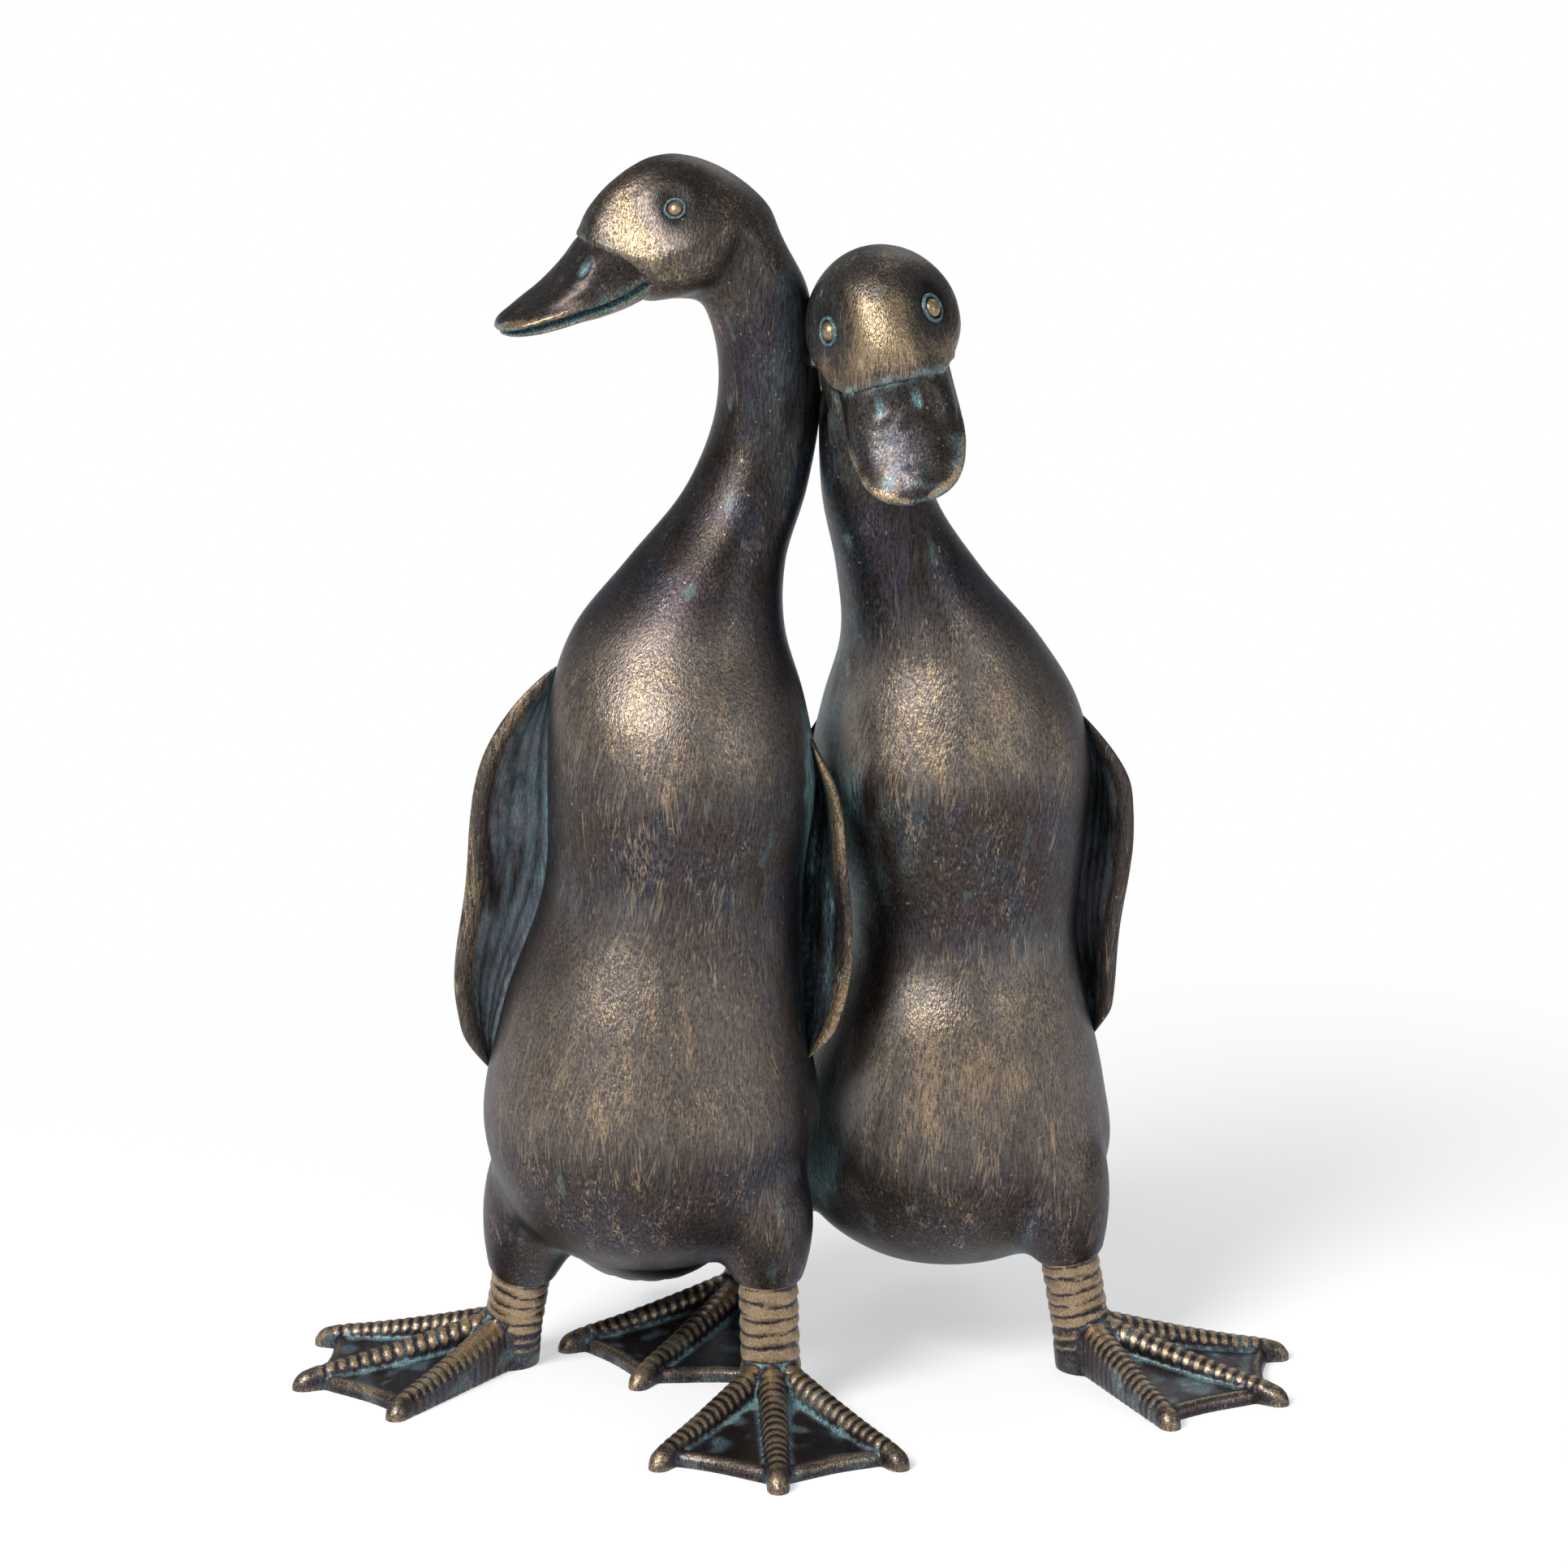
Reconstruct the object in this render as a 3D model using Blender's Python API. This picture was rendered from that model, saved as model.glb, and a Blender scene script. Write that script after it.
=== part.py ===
"""Garden statue of two upright ducks that lean together, cast in pieces and pinned.

Each duck is a hollow body with a neck, thighs and a tail, a solid head with an open bill, two eye beads, two
wings and two legs with webbed feet. Dowels, pins and steel rods run across every bonded joint. The statue
faces -Y and stands on four flat soles at Z = 0.
"""
import math

import bmesh
import bpy
import numpy as np
from mathutils import Vector

MM = 0.001

# Fits
JOINT_GAP = 0.3 * MM

# Bodies
WALL = 8.0 * MM
HOLLOW_FLOOR = 96.0 * MM
HOLLOW_TOP = 268.0 * MM
DRAIN_DIAMETER = 10.0 * MM

# Dowels, pins and rods
NECK_DOWEL_DIAMETER = 10.0 * MM
NECK_DOWEL_LENGTH = 44.0 * MM
TIE_DIAMETER = 6.0 * MM
BELLY_TIE_LENGTH = 13.0 * MM
BELLY_TIE_DROP = 6.0 * MM
HEAD_TIE_LENGTH = 22.0 * MM
HEAD_TIE_DROP = 16.0 * MM
WING_PIN_DIAMETER = 3.0 * MM
WING_PIN_LENGTH = 8.0 * MM
LEG_ROD_DIAMETER = 6.0 * MM
LEG_ROD_IN_THIGH = 22.0 * MM
LEG_ROD_END = 5.0 * MM

# Eyes
EYE_DIAMETER = 6.4 * MM
EYE_PROUD = 1.6 * MM

# Legs and feet
THIGH_DIAMETER = 23.0 * MM
THIGH_FLARE = 1.2
SHANK_DIAMETER = 20.5 * MM
SHANK_RINGS = 6
SHANK_RING_DEPTH = 0.7 * MM
TOE_SPREAD = math.radians(36.0)
TOE_LENGTH = {"inner": 67.0 * MM, "middle": 76.0 * MM, "outer": 70.0 * MM}
TOE_DIAMETER = 9.0 * MM
TOE_TIP_DIAMETER = 6.0 * MM
ANKLE_HEIGHT = 15.0 * MM
WEB_EDGE = 5.5 * MM
WEB_SAG = 5.0 * MM
SOLE_TRIM = 20.0 * MM

# Wings
WING_THICKNESS = 6.0 * MM
WING_REAR_PROUD = 3.5 * MM
WING_PIN_PLACES = (0.3, 0.65)

# Head and bill
MOUTH_GAP = 1.6 * MM

# Facets
BODY_SIDES = 22
BODY_RINGS = 24
HEAD_SIDES = 18
HEAD_RINGS = 13

# Finishes: colour, roughness, metallic
RESIN = ((0.11, 0.085, 0.07), 0.42, 0.35)
HORN = ((0.10, 0.08, 0.065), 0.40, 0.35)
EYE = ((0.012, 0.011, 0.010), 0.15, 0.0)
DOWEL = ((0.45, 0.36, 0.25), 0.70, 0.0)
STEEL = ((0.50, 0.50, 0.50), 0.40, 0.9)

# Body sections, bottom to neck: height, X, Y, half width, front depth, back depth.
# Neck drop: how far the bonded plane lies below the head's centre. Head: centre, yaw to the duck's right,
# nod and roll. Eye: distance forward of the head's centre and above it.
# Leg: sock centre, ankle centre, thigh root, heading of the middle toe from -Y towards +X.
# Wing: shoulder height, tip height, furthest stand-off, rim angle, sweep to the rear edge.
TALL = {
    "name": "tall_duck",
    "facing": math.radians(-10.0),
    "sections": (
        (48, -52, -24, 7, 7, 7),
        (55, -52, -24, 33, 33, 33),
        (70, -51.5, -24, 49, 48, 48),
        (96, -51, -24, 57.5, 56, 54),
        (137, -50, -23, 52, 51, 49),
        (182, -43, -21, 44, 44, 42),
        (222, -40, -21, 45.5, 48, 42),
        (246, -41.5, -19, 43, 44, 38),
        (268, -41, -14, 36, 35, 32),
        (290, -32, -9, 27, 27, 26),
        (315, -18, -3, 20.5, 21, 21),
        (345, -10.5, -1, 17.5, 18.5, 18.5),
        (372, -13, -4, 17.5, 19, 19),
        (384, -17, -5, 19, 20, 20),
        (395, -23, -6, 19.5, 20, 20),
        (405, -28, -6, 19, 19, 19),
        (413, -36, -6, 13, 13, 13),
    ),
    "neck_drop": 42,
    "head": (-41, -6, 404),
    "head_turn": tuple(math.radians(a) for a in (75.0, 0.0, 0.0)),
    "eye": (5.2, 8.1),
    "tail": ((-53, -8, 78, 44, 32), (-54, 16, 48, 33, 22), (-55, 40, 29, 22, 12), (-55, 60, 18, 12, 4)),
    "legs": {
        "right": ((-97, -6, 36), (-101, 0, 12), (-72, -18, 96), math.radians(-70.0)),
        "left": ((-11, -47, 47), (-10, -47, 13), (-34, -34, 98), math.radians(2.0)),
    },
    "wings": {
        "right": (247, 112, 26.5, math.radians(84.0), math.radians(58.0)),
        "left": (230, 120, 18, math.radians(88.0), math.radians(52.0)),
    },
}
SHORT = {
    "name": "short_duck",
    "facing": math.radians(0.0),
    "sections": (
        (34, 52, 22, 7, 7, 7),
        (41, 52, 22, 33, 33, 33),
        (55, 52, 22, 49, 48, 46),
        (76, 52, 22, 57, 55, 52),
        (98, 52.5, 22, 54, 53, 50),
        (128, 54, 21.5, 44, 45, 43),
        (156, 55.5, 20, 41, 42, 40),
        (192, 53, 19, 46.5, 47, 42),
        (214, 52, 18, 48.5, 49, 42),
        (236, 51.5, 16, 44, 44, 38),
        (258, 48, 12, 34.5, 35, 32),
        (285, 36.5, 5.5, 24.5, 25, 24),
        (312, 26, -1, 19, 20, 20),
        (338, 23.5, -6, 17.5, 18.5, 18.5),
        (360, 25, -9, 18, 19, 19),
        (376, 25, -11, 14, 16, 16),
    ),
    "neck_drop": 45,
    "head": (26.5, -19, 375),
    "head_turn": tuple(math.radians(a) for a in (0.0, 25.0, 13.0)),
    "eye": (9.5, 5.6),
    "tail": ((53, 38, 68, 46, 32), (53, 62, 42, 36, 22), (53, 84, 26, 24, 12), (53, 102, 17, 13, 4)),
    "legs": {
        "right": ((-12, 36, 41), (-18, 41, 12), (22, 28, 86), math.radians(-30.0)),
        "left": ((94, -4, 41), (99, -3, 12), (74, 10, 90), math.radians(60.0)),
    },
    "wings": {
        "right": (222, 114, 9, math.radians(96.0), math.radians(48.0)),
        "left": (223, 112, 16, math.radians(88.0), math.radians(52.0)),
    },
}

# Head sections along its nose line: forward, centre height, half width, top, bottom. Pinch: how much narrower
# the crown is than the cheeks, at distances along the nose line.
HEAD_SECTIONS = (
    (-34, 0, 4, 4, 4),
    (-28, 0, 14, 10, 13),
    (-17, -1, 22.5, 19, 21),
    (-8, -2.5, 25.8, 24.5, 22.5),
    (0, -4.5, 25.6, 28.2, 21.5),
    (8, -6.5, 23.6, 29.5, 19),
    (16, -9.5, 20.6, 29, 15.5),
    (24, -12.5, 18.6, 26, 12),
    (30, -14, 17.2, 20.5, 9.5),
    (34, -14.5, 14.5, 11.7, 7),
)
CROWN_PINCH = ((-20, 0.14), (-8, 0.18), (6, 0.42), (20, 0.45), (33, 0.4))
# Bill sections along the nose line: forward, mouth line, half width, crown above the line, keel below it.
BILL_SECTIONS = (
    (12, -13.8, 17.8, 16.5, 8),
    (22.5, -20.4, 18.7, 22, 6),
    (32.5, -24.2, 19, 21.6, 5.5),
    (37, -25.4, 18.8, 16.8, 5),
    (46, -28.3, 17.6, 10.4, 4.2),
    (56, -31.1, 13.8, 5.8, 3.4),
    (61, -32.5, 6, 3, 2.5),
)


def clear_scene():
    for thing in list(bpy.data.objects):
        bpy.data.objects.remove(thing, do_unlink=True)


def make_material(name, colour, roughness, metallic):
    finish = bpy.data.materials.new(name)
    finish.use_nodes = True
    shader = finish.node_tree.nodes["Principled BSDF"]
    shader.inputs["Base Color"].default_value = (*colour, 1.0)
    shader.inputs["Roughness"].default_value = roughness
    shader.inputs["Metallic"].default_value = metallic
    return finish


def add_object(name, points, faces):
    """Closed mesh object with its faces turned outwards."""
    shape = bpy.data.meshes.new(name)
    shape.from_pydata([tuple(p) for p in points], [], faces)
    work = bmesh.new()
    work.from_mesh(shape)
    bmesh.ops.recalc_face_normals(work, faces=work.faces)
    work.to_mesh(shape)
    work.free()
    thing = bpy.data.objects.new(name, shape)
    bpy.context.collection.objects.link(thing)
    return thing


def boolean(thing, cutters, operation):
    """Apply one Boolean for each cutter, and remove the cutters."""
    for cutter in cutters:
        step = thing.modifiers.new("cut", "BOOLEAN")
        step.operation = operation
        step.solver = "EXACT"
        step.object = cutter
        bpy.context.view_layer.objects.active = thing
        bpy.ops.object.modifier_apply(modifier=step.name)
        bpy.data.objects.remove(cutter, do_unlink=True)
    return thing


def cut(thing, cutters):
    return boolean(thing, cutters, "DIFFERENCE")


def join(thing, others):
    return boolean(thing, others, "UNION")


def smooth_rows(rows, count):
    """Rows in millimetres, resampled in metres along a curve through every row."""
    rows = np.array(rows, float) * MM
    steps = np.linalg.norm(np.diff(rows, axis=0), axis=1)
    knots = np.concatenate(([0.0], np.cumsum(steps)))
    slopes = np.gradient(rows, knots, axis=0)
    where = np.linspace(0.0, knots[-1], count)
    span = np.clip(np.searchsorted(knots, where, side="right") - 1, 0, len(rows) - 2)
    length = (knots[span + 1] - knots[span])[:, None]
    t = (where - knots[span])[:, None] / length
    start = (2 * t**3 - 3 * t**2 + 1) * rows[span] + (t**3 - 2 * t**2 + t) * length * slopes[span]
    end = (3 * t**2 - 2 * t**3) * rows[span + 1] + (t**3 - t**2) * length * slopes[span + 1]
    return start + end


def loft(name, rings):
    """Skin a list of rings and close both ends."""
    sides = len(rings[0])
    points = [p for ring in rings for p in ring]
    faces = []
    for row in range(len(rings) - 1):
        for k in range(sides):
            a = row * sides + k
            b = row * sides + (k + 1) % sides
            faces.append((a, b, b + sides, a + sides))
    faces.append(tuple(range(sides)))
    faces.append(tuple(range(len(points) - sides, len(points))))
    return add_object(name, points, faces)


def ring(centre, across, up, width, top, bottom, sides, pinch=0.0):
    """Egg-shaped ring: half width across, its own height above and below, and a pinched top."""
    points = []
    for k in range(sides):
        angle = math.tau * (k + 0.5) / sides
        rise = math.sin(angle)
        height = top if rise > 0 else bottom
        reach = width * math.cos(angle) * (1.0 - pinch * max(rise, 0.0))
        points.append(centre + across * reach + up * height * rise)
    return points


def rod(name, start, end, diameter, sides=16):
    start = Vector(start)
    end = Vector(end)
    axis = (end - start).normalized()
    across = axis.orthogonal().normalized()
    up = axis.cross(across)
    half = diameter / 2
    return loft(name, [ring(p, across, up, half, half, half, sides) for p in (start, end)])


def point(row):
    return Vector(row) * MM


def facing_axes(duck):
    """Forward and left directions of a duck's body."""
    turn = duck["facing"]
    forward = Vector((math.sin(turn), -math.cos(turn), 0.0))
    left = Vector((math.cos(turn), math.sin(turn), 0.0))
    return forward, left


def body_rows(duck, count=BODY_RINGS):
    return smooth_rows(duck["sections"], count)


def section_at(duck, height):
    rows = body_rows(duck, 200)
    return [float(np.interp(height, rows[:, 0], rows[:, k])) for k in range(1, 6)]


def body_loft(name, duck, low, high, grow=0.0, count=BODY_RINGS, sides=BODY_SIDES):
    """Stack of level sections between two heights, all moved out by grow."""
    forward, left = facing_axes(duck)
    rows = body_rows(duck, count)
    heights = [h for h in rows[:, 0] if low + MM < h < high - MM]
    rings = []
    for height in [low, *heights, high]:
        x, y, half, front, back = section_at(duck, height)
        centre = Vector((x, y, height))
        rings.append(ring(centre, left, forward, half + grow, front + grow, back + grow, sides))
    return loft(name, rings)


def side_point(duck, height, angle, stand_off):
    """Point outside the body at a height, at an angle from the front towards the duck's left."""
    forward, left = facing_axes(duck)
    x, y, half, front, back = section_at(duck, height)
    depth = front if math.cos(angle) > 0 else back
    reach = 1.0 / math.hypot(math.sin(angle) / half, math.cos(angle) / depth)
    out = forward * math.cos(angle) + left * math.sin(angle)
    return Vector((x, y, height)) + out * (reach + stand_off)


def thigh(duck, side, grow=0.0):
    sock, ankle, root, _ = duck["legs"][side]
    sock = point(sock)
    root = point(root)
    axis = (sock - point(ankle)).normalized()
    across = axis.cross(Vector((0.0, 1.0, 0.0))).normalized()
    up = axis.cross(across)
    half = THIGH_DIAMETER / 2 + grow
    rings = []
    for t in (0.0, 0.12, 0.4, 0.7, 1.0):
        straight = sock + axis * (root - sock).length * t
        centre = straight.lerp(sock.lerp(root, t), t)
        radius = half * (1.0 + THIGH_FLARE * math.sin(t * math.pi / 2))
        rings.append(ring(centre, across, up, radius, radius, radius, 16))
    return loft("thigh", rings)


def tail(duck, grow=0.0):
    forward, left = facing_axes(duck)
    rows = smooth_rows(duck["tail"], 7)
    path = [Vector(row[:3]) for row in rows]
    rings = []
    for k, row in enumerate(rows):
        along = path[min(k + 1, len(path) - 1)] - path[max(k - 1, 0)]
        up = left.cross(along).normalized()
        rings.append(ring(path[k], left, up, row[3] + grow, row[4] + grow, row[4] + grow, 16))
    return loft("tail", rings)


def leg_axis(duck, side):
    sock, ankle, _, _ = duck["legs"][side]
    return (point(sock) - point(ankle)).normalized()


def leg_rod(name, duck, side, clearance=0.0):
    """Steel rod up the middle of a leg and into the thigh."""
    sock, ankle, _, _ = duck["legs"][side]
    axis = leg_axis(duck, side)
    drop = (point(ankle).z - LEG_ROD_END) / axis.z
    low = point(ankle) - axis * (drop + clearance)
    high = point(sock) + axis * (LEG_ROD_IN_THIGH + clearance)
    return rod(name, low, high, LEG_ROD_DIAMETER + 2 * clearance)


def neck_joint(duck):
    """Height of the bonded plane between body and head."""
    return (duck["head"][2] - duck["neck_drop"]) * MM


def neck_dowel(name, duck, clearance=0.0):
    height = neck_joint(duck)
    reach = NECK_DOWEL_LENGTH / 2 + clearance
    ends = []
    for level in (height - reach, height + reach):
        x, y, *_ = section_at(duck, level)
        ends.append(Vector((x, y, level)))
    return rod(name, ends[0], ends[1], NECK_DOWEL_DIAMETER + 2 * clearance)


def wing_signs(side):
    return 1.0 if side == "left" else -1.0


def wing_surface(duck, side, s, t):
    """Outer wing skin: s runs from the rear edge to the front rim, t from shoulder to tip."""
    shoulder, tip, stand_off, rim, sweep = duck["wings"][side]
    height = (shoulder + (tip - shoulder) * t) * MM
    bulge = max(math.sin(math.pi * t), 0.0) ** 0.75
    angle = rim + sweep * (0.12 + 0.88 * bulge) * (1.0 - s)
    proud = WING_REAR_PROUD + (stand_off * MM * bulge - WING_REAR_PROUD * bulge) * s**1.6
    return height, wing_signs(side) * angle, proud


def wing(duck, side, rows=11, columns=8):
    """Wing flap, thin at its rim and set into the body along its rear."""
    outer = []
    inner = []
    for i in range(rows):
        t = i / (rows - 1)
        for j in range(columns):
            s = j / (columns - 1)
            height, angle, proud = wing_surface(duck, side, s, t)
            outer.append(side_point(duck, height, angle, proud))
            inner.append(side_point(duck, height, angle, proud - WING_THICKNESS))
    total = rows * columns
    faces = []
    for i in range(rows - 1):
        for j in range(columns - 1):
            a = i * columns + j
            quad = (a, a + 1, a + 1 + columns, a + columns)
            faces.append(quad)
            faces.append(tuple(k + total for k in reversed(quad)))
    edge = [j for j in range(columns)]
    edge += [i * columns + columns - 1 for i in range(1, rows)]
    edge += [(rows - 1) * columns + j for j in range(columns - 2, -1, -1)]
    edge += [i * columns for i in range(rows - 2, 0, -1)]
    for k, a in enumerate(edge):
        b = edge[(k + 1) % len(edge)]
        faces.append((a, b, b + total, a + total))
    return add_object(f"{duck['name']}_{side}_wing", outer + inner, faces)


def wing_pin(name, duck, side, t, clearance=0.0):
    """Pin square to the body, half in the wing's root and half in the body's wall."""
    height, angle, proud = wing_surface(duck, side, 0.16, t)
    inner = proud - 1.2 * MM
    start = side_point(duck, height, angle, inner + clearance)
    end = side_point(duck, height, angle, inner - WING_PIN_LENGTH - clearance)
    return rod(name, start, end, WING_PIN_DIAMETER + 2 * clearance, 12)


def head_axes(duck):
    """Forward, left and up directions of a head, after its turn, nod and roll."""
    yaw, nod, roll = duck["head_turn"]
    forward = Vector((-math.sin(yaw), -math.cos(yaw), 0.0))
    left = Vector((math.cos(yaw), -math.sin(yaw), 0.0))
    up = Vector((0.0, 0.0, 1.0))
    nodded = forward * math.cos(nod) - up * math.sin(nod)
    up = up * math.cos(nod) + forward * math.sin(nod)
    axes = []
    for axis in (nodded, left, up):
        x = axis.x * math.cos(roll) - axis.z * math.sin(roll)
        z = axis.x * math.sin(roll) + axis.z * math.cos(roll)
        axes.append(Vector((x, axis.y, z)))
    return axes


def crown_pinch(forward):
    places, amounts = zip(*CROWN_PINCH)
    return float(np.interp(forward / MM, places, amounts))


def head_loft(name, duck, rows, count, sides, grow=0.0):
    """Skin of head or bill sections, all moved out by grow."""
    forward, left, up = head_axes(duck)
    centre = point(duck["head"])
    rings = []
    for row in smooth_rows(rows, count):
        middle = centre + forward * row[0] + up * row[1]
        sizes = [size + grow for size in row[2:]]
        pinch = crown_pinch(row[0]) if rows is HEAD_SECTIONS else 0.0
        rings.append(ring(middle, left, up, *sizes, sides, pinch))
    return loft(name, rings)


def eye_centre(duck, side):
    forward, left, up = head_axes(duck)
    ahead, height = [size * MM for size in duck["eye"]]
    rows = smooth_rows(HEAD_SECTIONS, 200)
    middle, half, top = [float(np.interp(ahead, rows[:, 0], rows[:, k])) for k in (1, 2, 3)]
    rise = (height - middle) / top
    reach = half * math.sqrt(1.0 - rise**2) * (1.0 - crown_pinch(ahead) * rise)
    out = reach + EYE_PROUD - EYE_DIAMETER / 2
    return point(duck["head"]) + forward * ahead + up * height + left * out * wing_signs(side)


def ball(name, centre, diameter):
    work = bmesh.new()
    bmesh.ops.create_uvsphere(work, u_segments=12, v_segments=6, radius=diameter / 2)
    bmesh.ops.translate(work, verts=work.verts, vec=centre)
    shape = bpy.data.meshes.new(name)
    work.to_mesh(shape)
    work.free()
    thing = bpy.data.objects.new(name, shape)
    bpy.context.collection.objects.link(thing)
    return thing


def bill_halves(duck, grow=0.0):
    """Upper and lower bill, either side of the open mouth."""
    lip = MOUTH_GAP / MM / 2
    upper = [(x, line + lip, half, crown - lip, 0.2) for x, line, half, crown, keel in BILL_SECTIONS]
    lower = [(x - 2, line - lip, half - 1, 0.2, keel - lip) for x, line, half, crown, keel in BILL_SECTIONS]
    return [head_loft("bill", duck, rows, 8, 14, grow) for rows in (upper, lower)]


def head_solid(name, duck, grow=0.0):
    """Outer shape of a head: skull, top of the neck and both halves of the bill."""
    low = neck_joint(duck) + JOINT_GAP
    high = duck["sections"][-1][0] * MM
    skull = head_loft(name, duck, HEAD_SECTIONS, HEAD_RINGS, HEAD_SIDES, grow)
    stub = body_loft("stub", duck, low, high, grow)
    return join(skull, [stub, *bill_halves(duck, grow)])


def head(duck):
    holes = [neck_dowel("hole", duck, JOINT_GAP)]
    holes += [ball("socket", eye_centre(duck, side), EYE_DIAMETER + 2 * JOINT_GAP) for side in ("left", "right")]
    return cut(head_solid(f"{duck['name']}_head", duck), holes)


def foot_direction(heading):
    return Vector((math.sin(heading), -math.cos(heading), 0.0))


def toe_angles(side):
    """Angles of the three toes from the middle one, towards the duck's left."""
    outward = wing_signs(side)
    return {"inner": -outward * TOE_SPREAD, "middle": 0.0, "outer": outward * TOE_SPREAD}


def toe(heel, direction, length):
    across = direction.cross(Vector((0.0, 0.0, 1.0)))
    rings = []
    for t in (0.0, 0.3, 0.6, 0.85, 0.95, 1.0):
        half = (TOE_DIAMETER * (1.0 - t) + TOE_TIP_DIAMETER * t) / 2
        if t > 0.9:
            half *= 0.85 if t < 1.0 else 0.45
        height = ANKLE_HEIGHT * (1.0 - t) ** 1.3 + half * 0.8 + 0.5 * MM
        centre = heel + direction * length * t + Vector((0.0, 0.0, height))
        rings.append(ring(centre, across, Vector((0.0, 0.0, 1.0)), half, half, height + MM, 8))
    return loft("toe", rings)


def web(heel, heading, side):
    """Skin between the toes, thick at the ankle and thin along its scalloped front edge."""
    angles = toe_angles(side)
    tips = sorted((a, TOE_LENGTH[n] * 0.93) for n, a in angles.items())
    columns = []
    for (a, reach_a), (b, reach_b) in zip(tips, tips[1:]):
        for k in range(4):
            f = k / 4
            sag = WEB_SAG * math.sin(math.pi * f)
            columns.append((a + (b - a) * f, reach_a + (reach_b - reach_a) * f - sag))
    columns.append(tips[-1])
    top = []
    bottom = []
    for angle, reach in columns:
        direction = foot_direction(heading + angle)
        for t in (0.06, 0.3, 0.6, 1.0):
            height = WEB_EDGE + (ANKLE_HEIGHT - WEB_EDGE) * (1.0 - t) ** 1.5
            place = heel + direction * reach * t
            top.append(place + Vector((0.0, 0.0, height)))
            bottom.append(place - Vector((0.0, 0.0, MM)))
    total = len(top)
    rows = len(columns)
    faces = []
    for i in range(rows - 1):
        for j in range(3):
            a = i * 4 + j
            quad = (a, a + 1, a + 5, a + 4)
            faces.append(quad)
            faces.append(tuple(k + total for k in reversed(quad)))
    edge = [0, 1, 2] + [i * 4 + 3 for i in range(rows)] + [(rows - 1) * 4 + j for j in (2, 1, 0)]
    edge += [i * 4 for i in range(rows - 2, 0, -1)]
    for k, a in enumerate(edge):
        b = edge[(k + 1) % len(edge)]
        faces.append((a, b, b + total, a + total))
    return add_object("web", top + bottom, faces)


def leg(duck, side):
    """Ringed shank and webbed foot in one casting, flat underneath."""
    name = f"{duck['name']}_{side}_leg"
    sock, ankle, _, heading = duck["legs"][side]
    axis = leg_axis(duck, side)
    top = point(sock) - axis * JOINT_GAP
    low = point(ankle) - axis * (point(ankle).z / axis.z + 2 * MM)
    across = axis.cross(Vector((0.0, 1.0, 0.0))).normalized()
    up = axis.cross(across)
    ringed = (top - point(ankle)).length
    rings = []
    for k in range(2 * SHANK_RINGS + 1):
        half = SHANK_DIAMETER / 2 - (0.0 if k % 2 else SHANK_RING_DEPTH)
        centre = top - axis * ringed * k / (2 * SHANK_RINGS)
        rings.append(ring(centre, across, up, half, half, half, 14))
    half = SHANK_DIAMETER / 2
    rings.append(ring(low, across, up, half, half, half, 14))
    shank = loft(name, rings)
    heel = Vector((point(ankle).x, point(ankle).y, 0.0))
    toes = [toe(heel, foot_direction(heading + a), TOE_LENGTH[n]) for n, a in toe_angles(side).items()]
    join(shank, [web(heel, heading, side), *toes])
    below = rod("below", heel - Vector((0.0, 0.0, SOLE_TRIM)), heel, 0.4, 32)
    return cut(shank, [below, leg_rod("hole", duck, side, JOINT_GAP)])


def belly_tie_ends(clearance):
    """Ends of the dowel between the two bellies, on the line between their axes."""
    height = TALL["sections"][3][0] * MM - BELLY_TIE_DROP
    tall = section_at(TALL, height)
    short = section_at(SHORT, height)
    start = Vector((tall[0], tall[1], height))
    along = (Vector((short[0], short[1], height)) - start).normalized()
    middle = start + along * tall[2]
    reach = BELLY_TIE_LENGTH / 2 + clearance
    return middle - along * reach, middle + along * reach


def head_tie_ends(clearance):
    """Ends of the dowel from the tall duck's neck into the short duck's head."""
    target = point(SHORT["head"])
    height = target.z - HEAD_TIE_DROP
    x, y, half, *_ = section_at(TALL, height)
    start = Vector((x, y, height))
    along = Vector((target.x - x, target.y - y, 0.0)).normalized()
    middle = start + along * half
    reach = HEAD_TIE_LENGTH / 2 + clearance
    return middle - along * reach, middle + along * reach


def tie_holes():
    ends = (belly_tie_ends(JOINT_GAP), head_tie_ends(JOINT_GAP))
    return [rod("hole", a, b, TIE_DIAMETER + 2 * JOINT_GAP) for a, b in ends]


def body_solid(name, duck, grow=0.0):
    """Outer shape of a body: torso, neck, thighs and tail."""
    low = duck["sections"][0][0] * MM
    high = neck_joint(duck)
    solid = body_loft(name, duck, low, high, grow)
    parts = [tail(duck, grow)]
    parts += [thigh(duck, side, grow) for side in duck["legs"]]
    return join(solid, parts)


def body(duck):
    solid = body_solid(f"{duck['name']}_body", duck)
    x, y, *_ = section_at(duck, HOLLOW_FLOOR)
    drain = rod("drain", (x, y, 0.0), (x, y, HOLLOW_FLOOR + MM), DRAIN_DIAMETER)
    hollow = body_loft("hollow", duck, HOLLOW_FLOOR, HOLLOW_TOP, -WALL, 14, 16)
    cutters = [join(hollow, [drain]), neck_dowel("hole", duck, JOINT_GAP)]
    for side in duck["legs"]:
        cutters.append(leg_rod("hole", duck, side, JOINT_GAP))
        cutters += [wing_pin("hole", duck, side, t, JOINT_GAP) for t in WING_PIN_PLACES]
    return cut(solid, cutters)


def paint(thing, look):
    colour, roughness, metallic = look
    thing.data.materials.clear()
    thing.data.materials.append(make_material(thing.name, colour, roughness, metallic))


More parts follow.
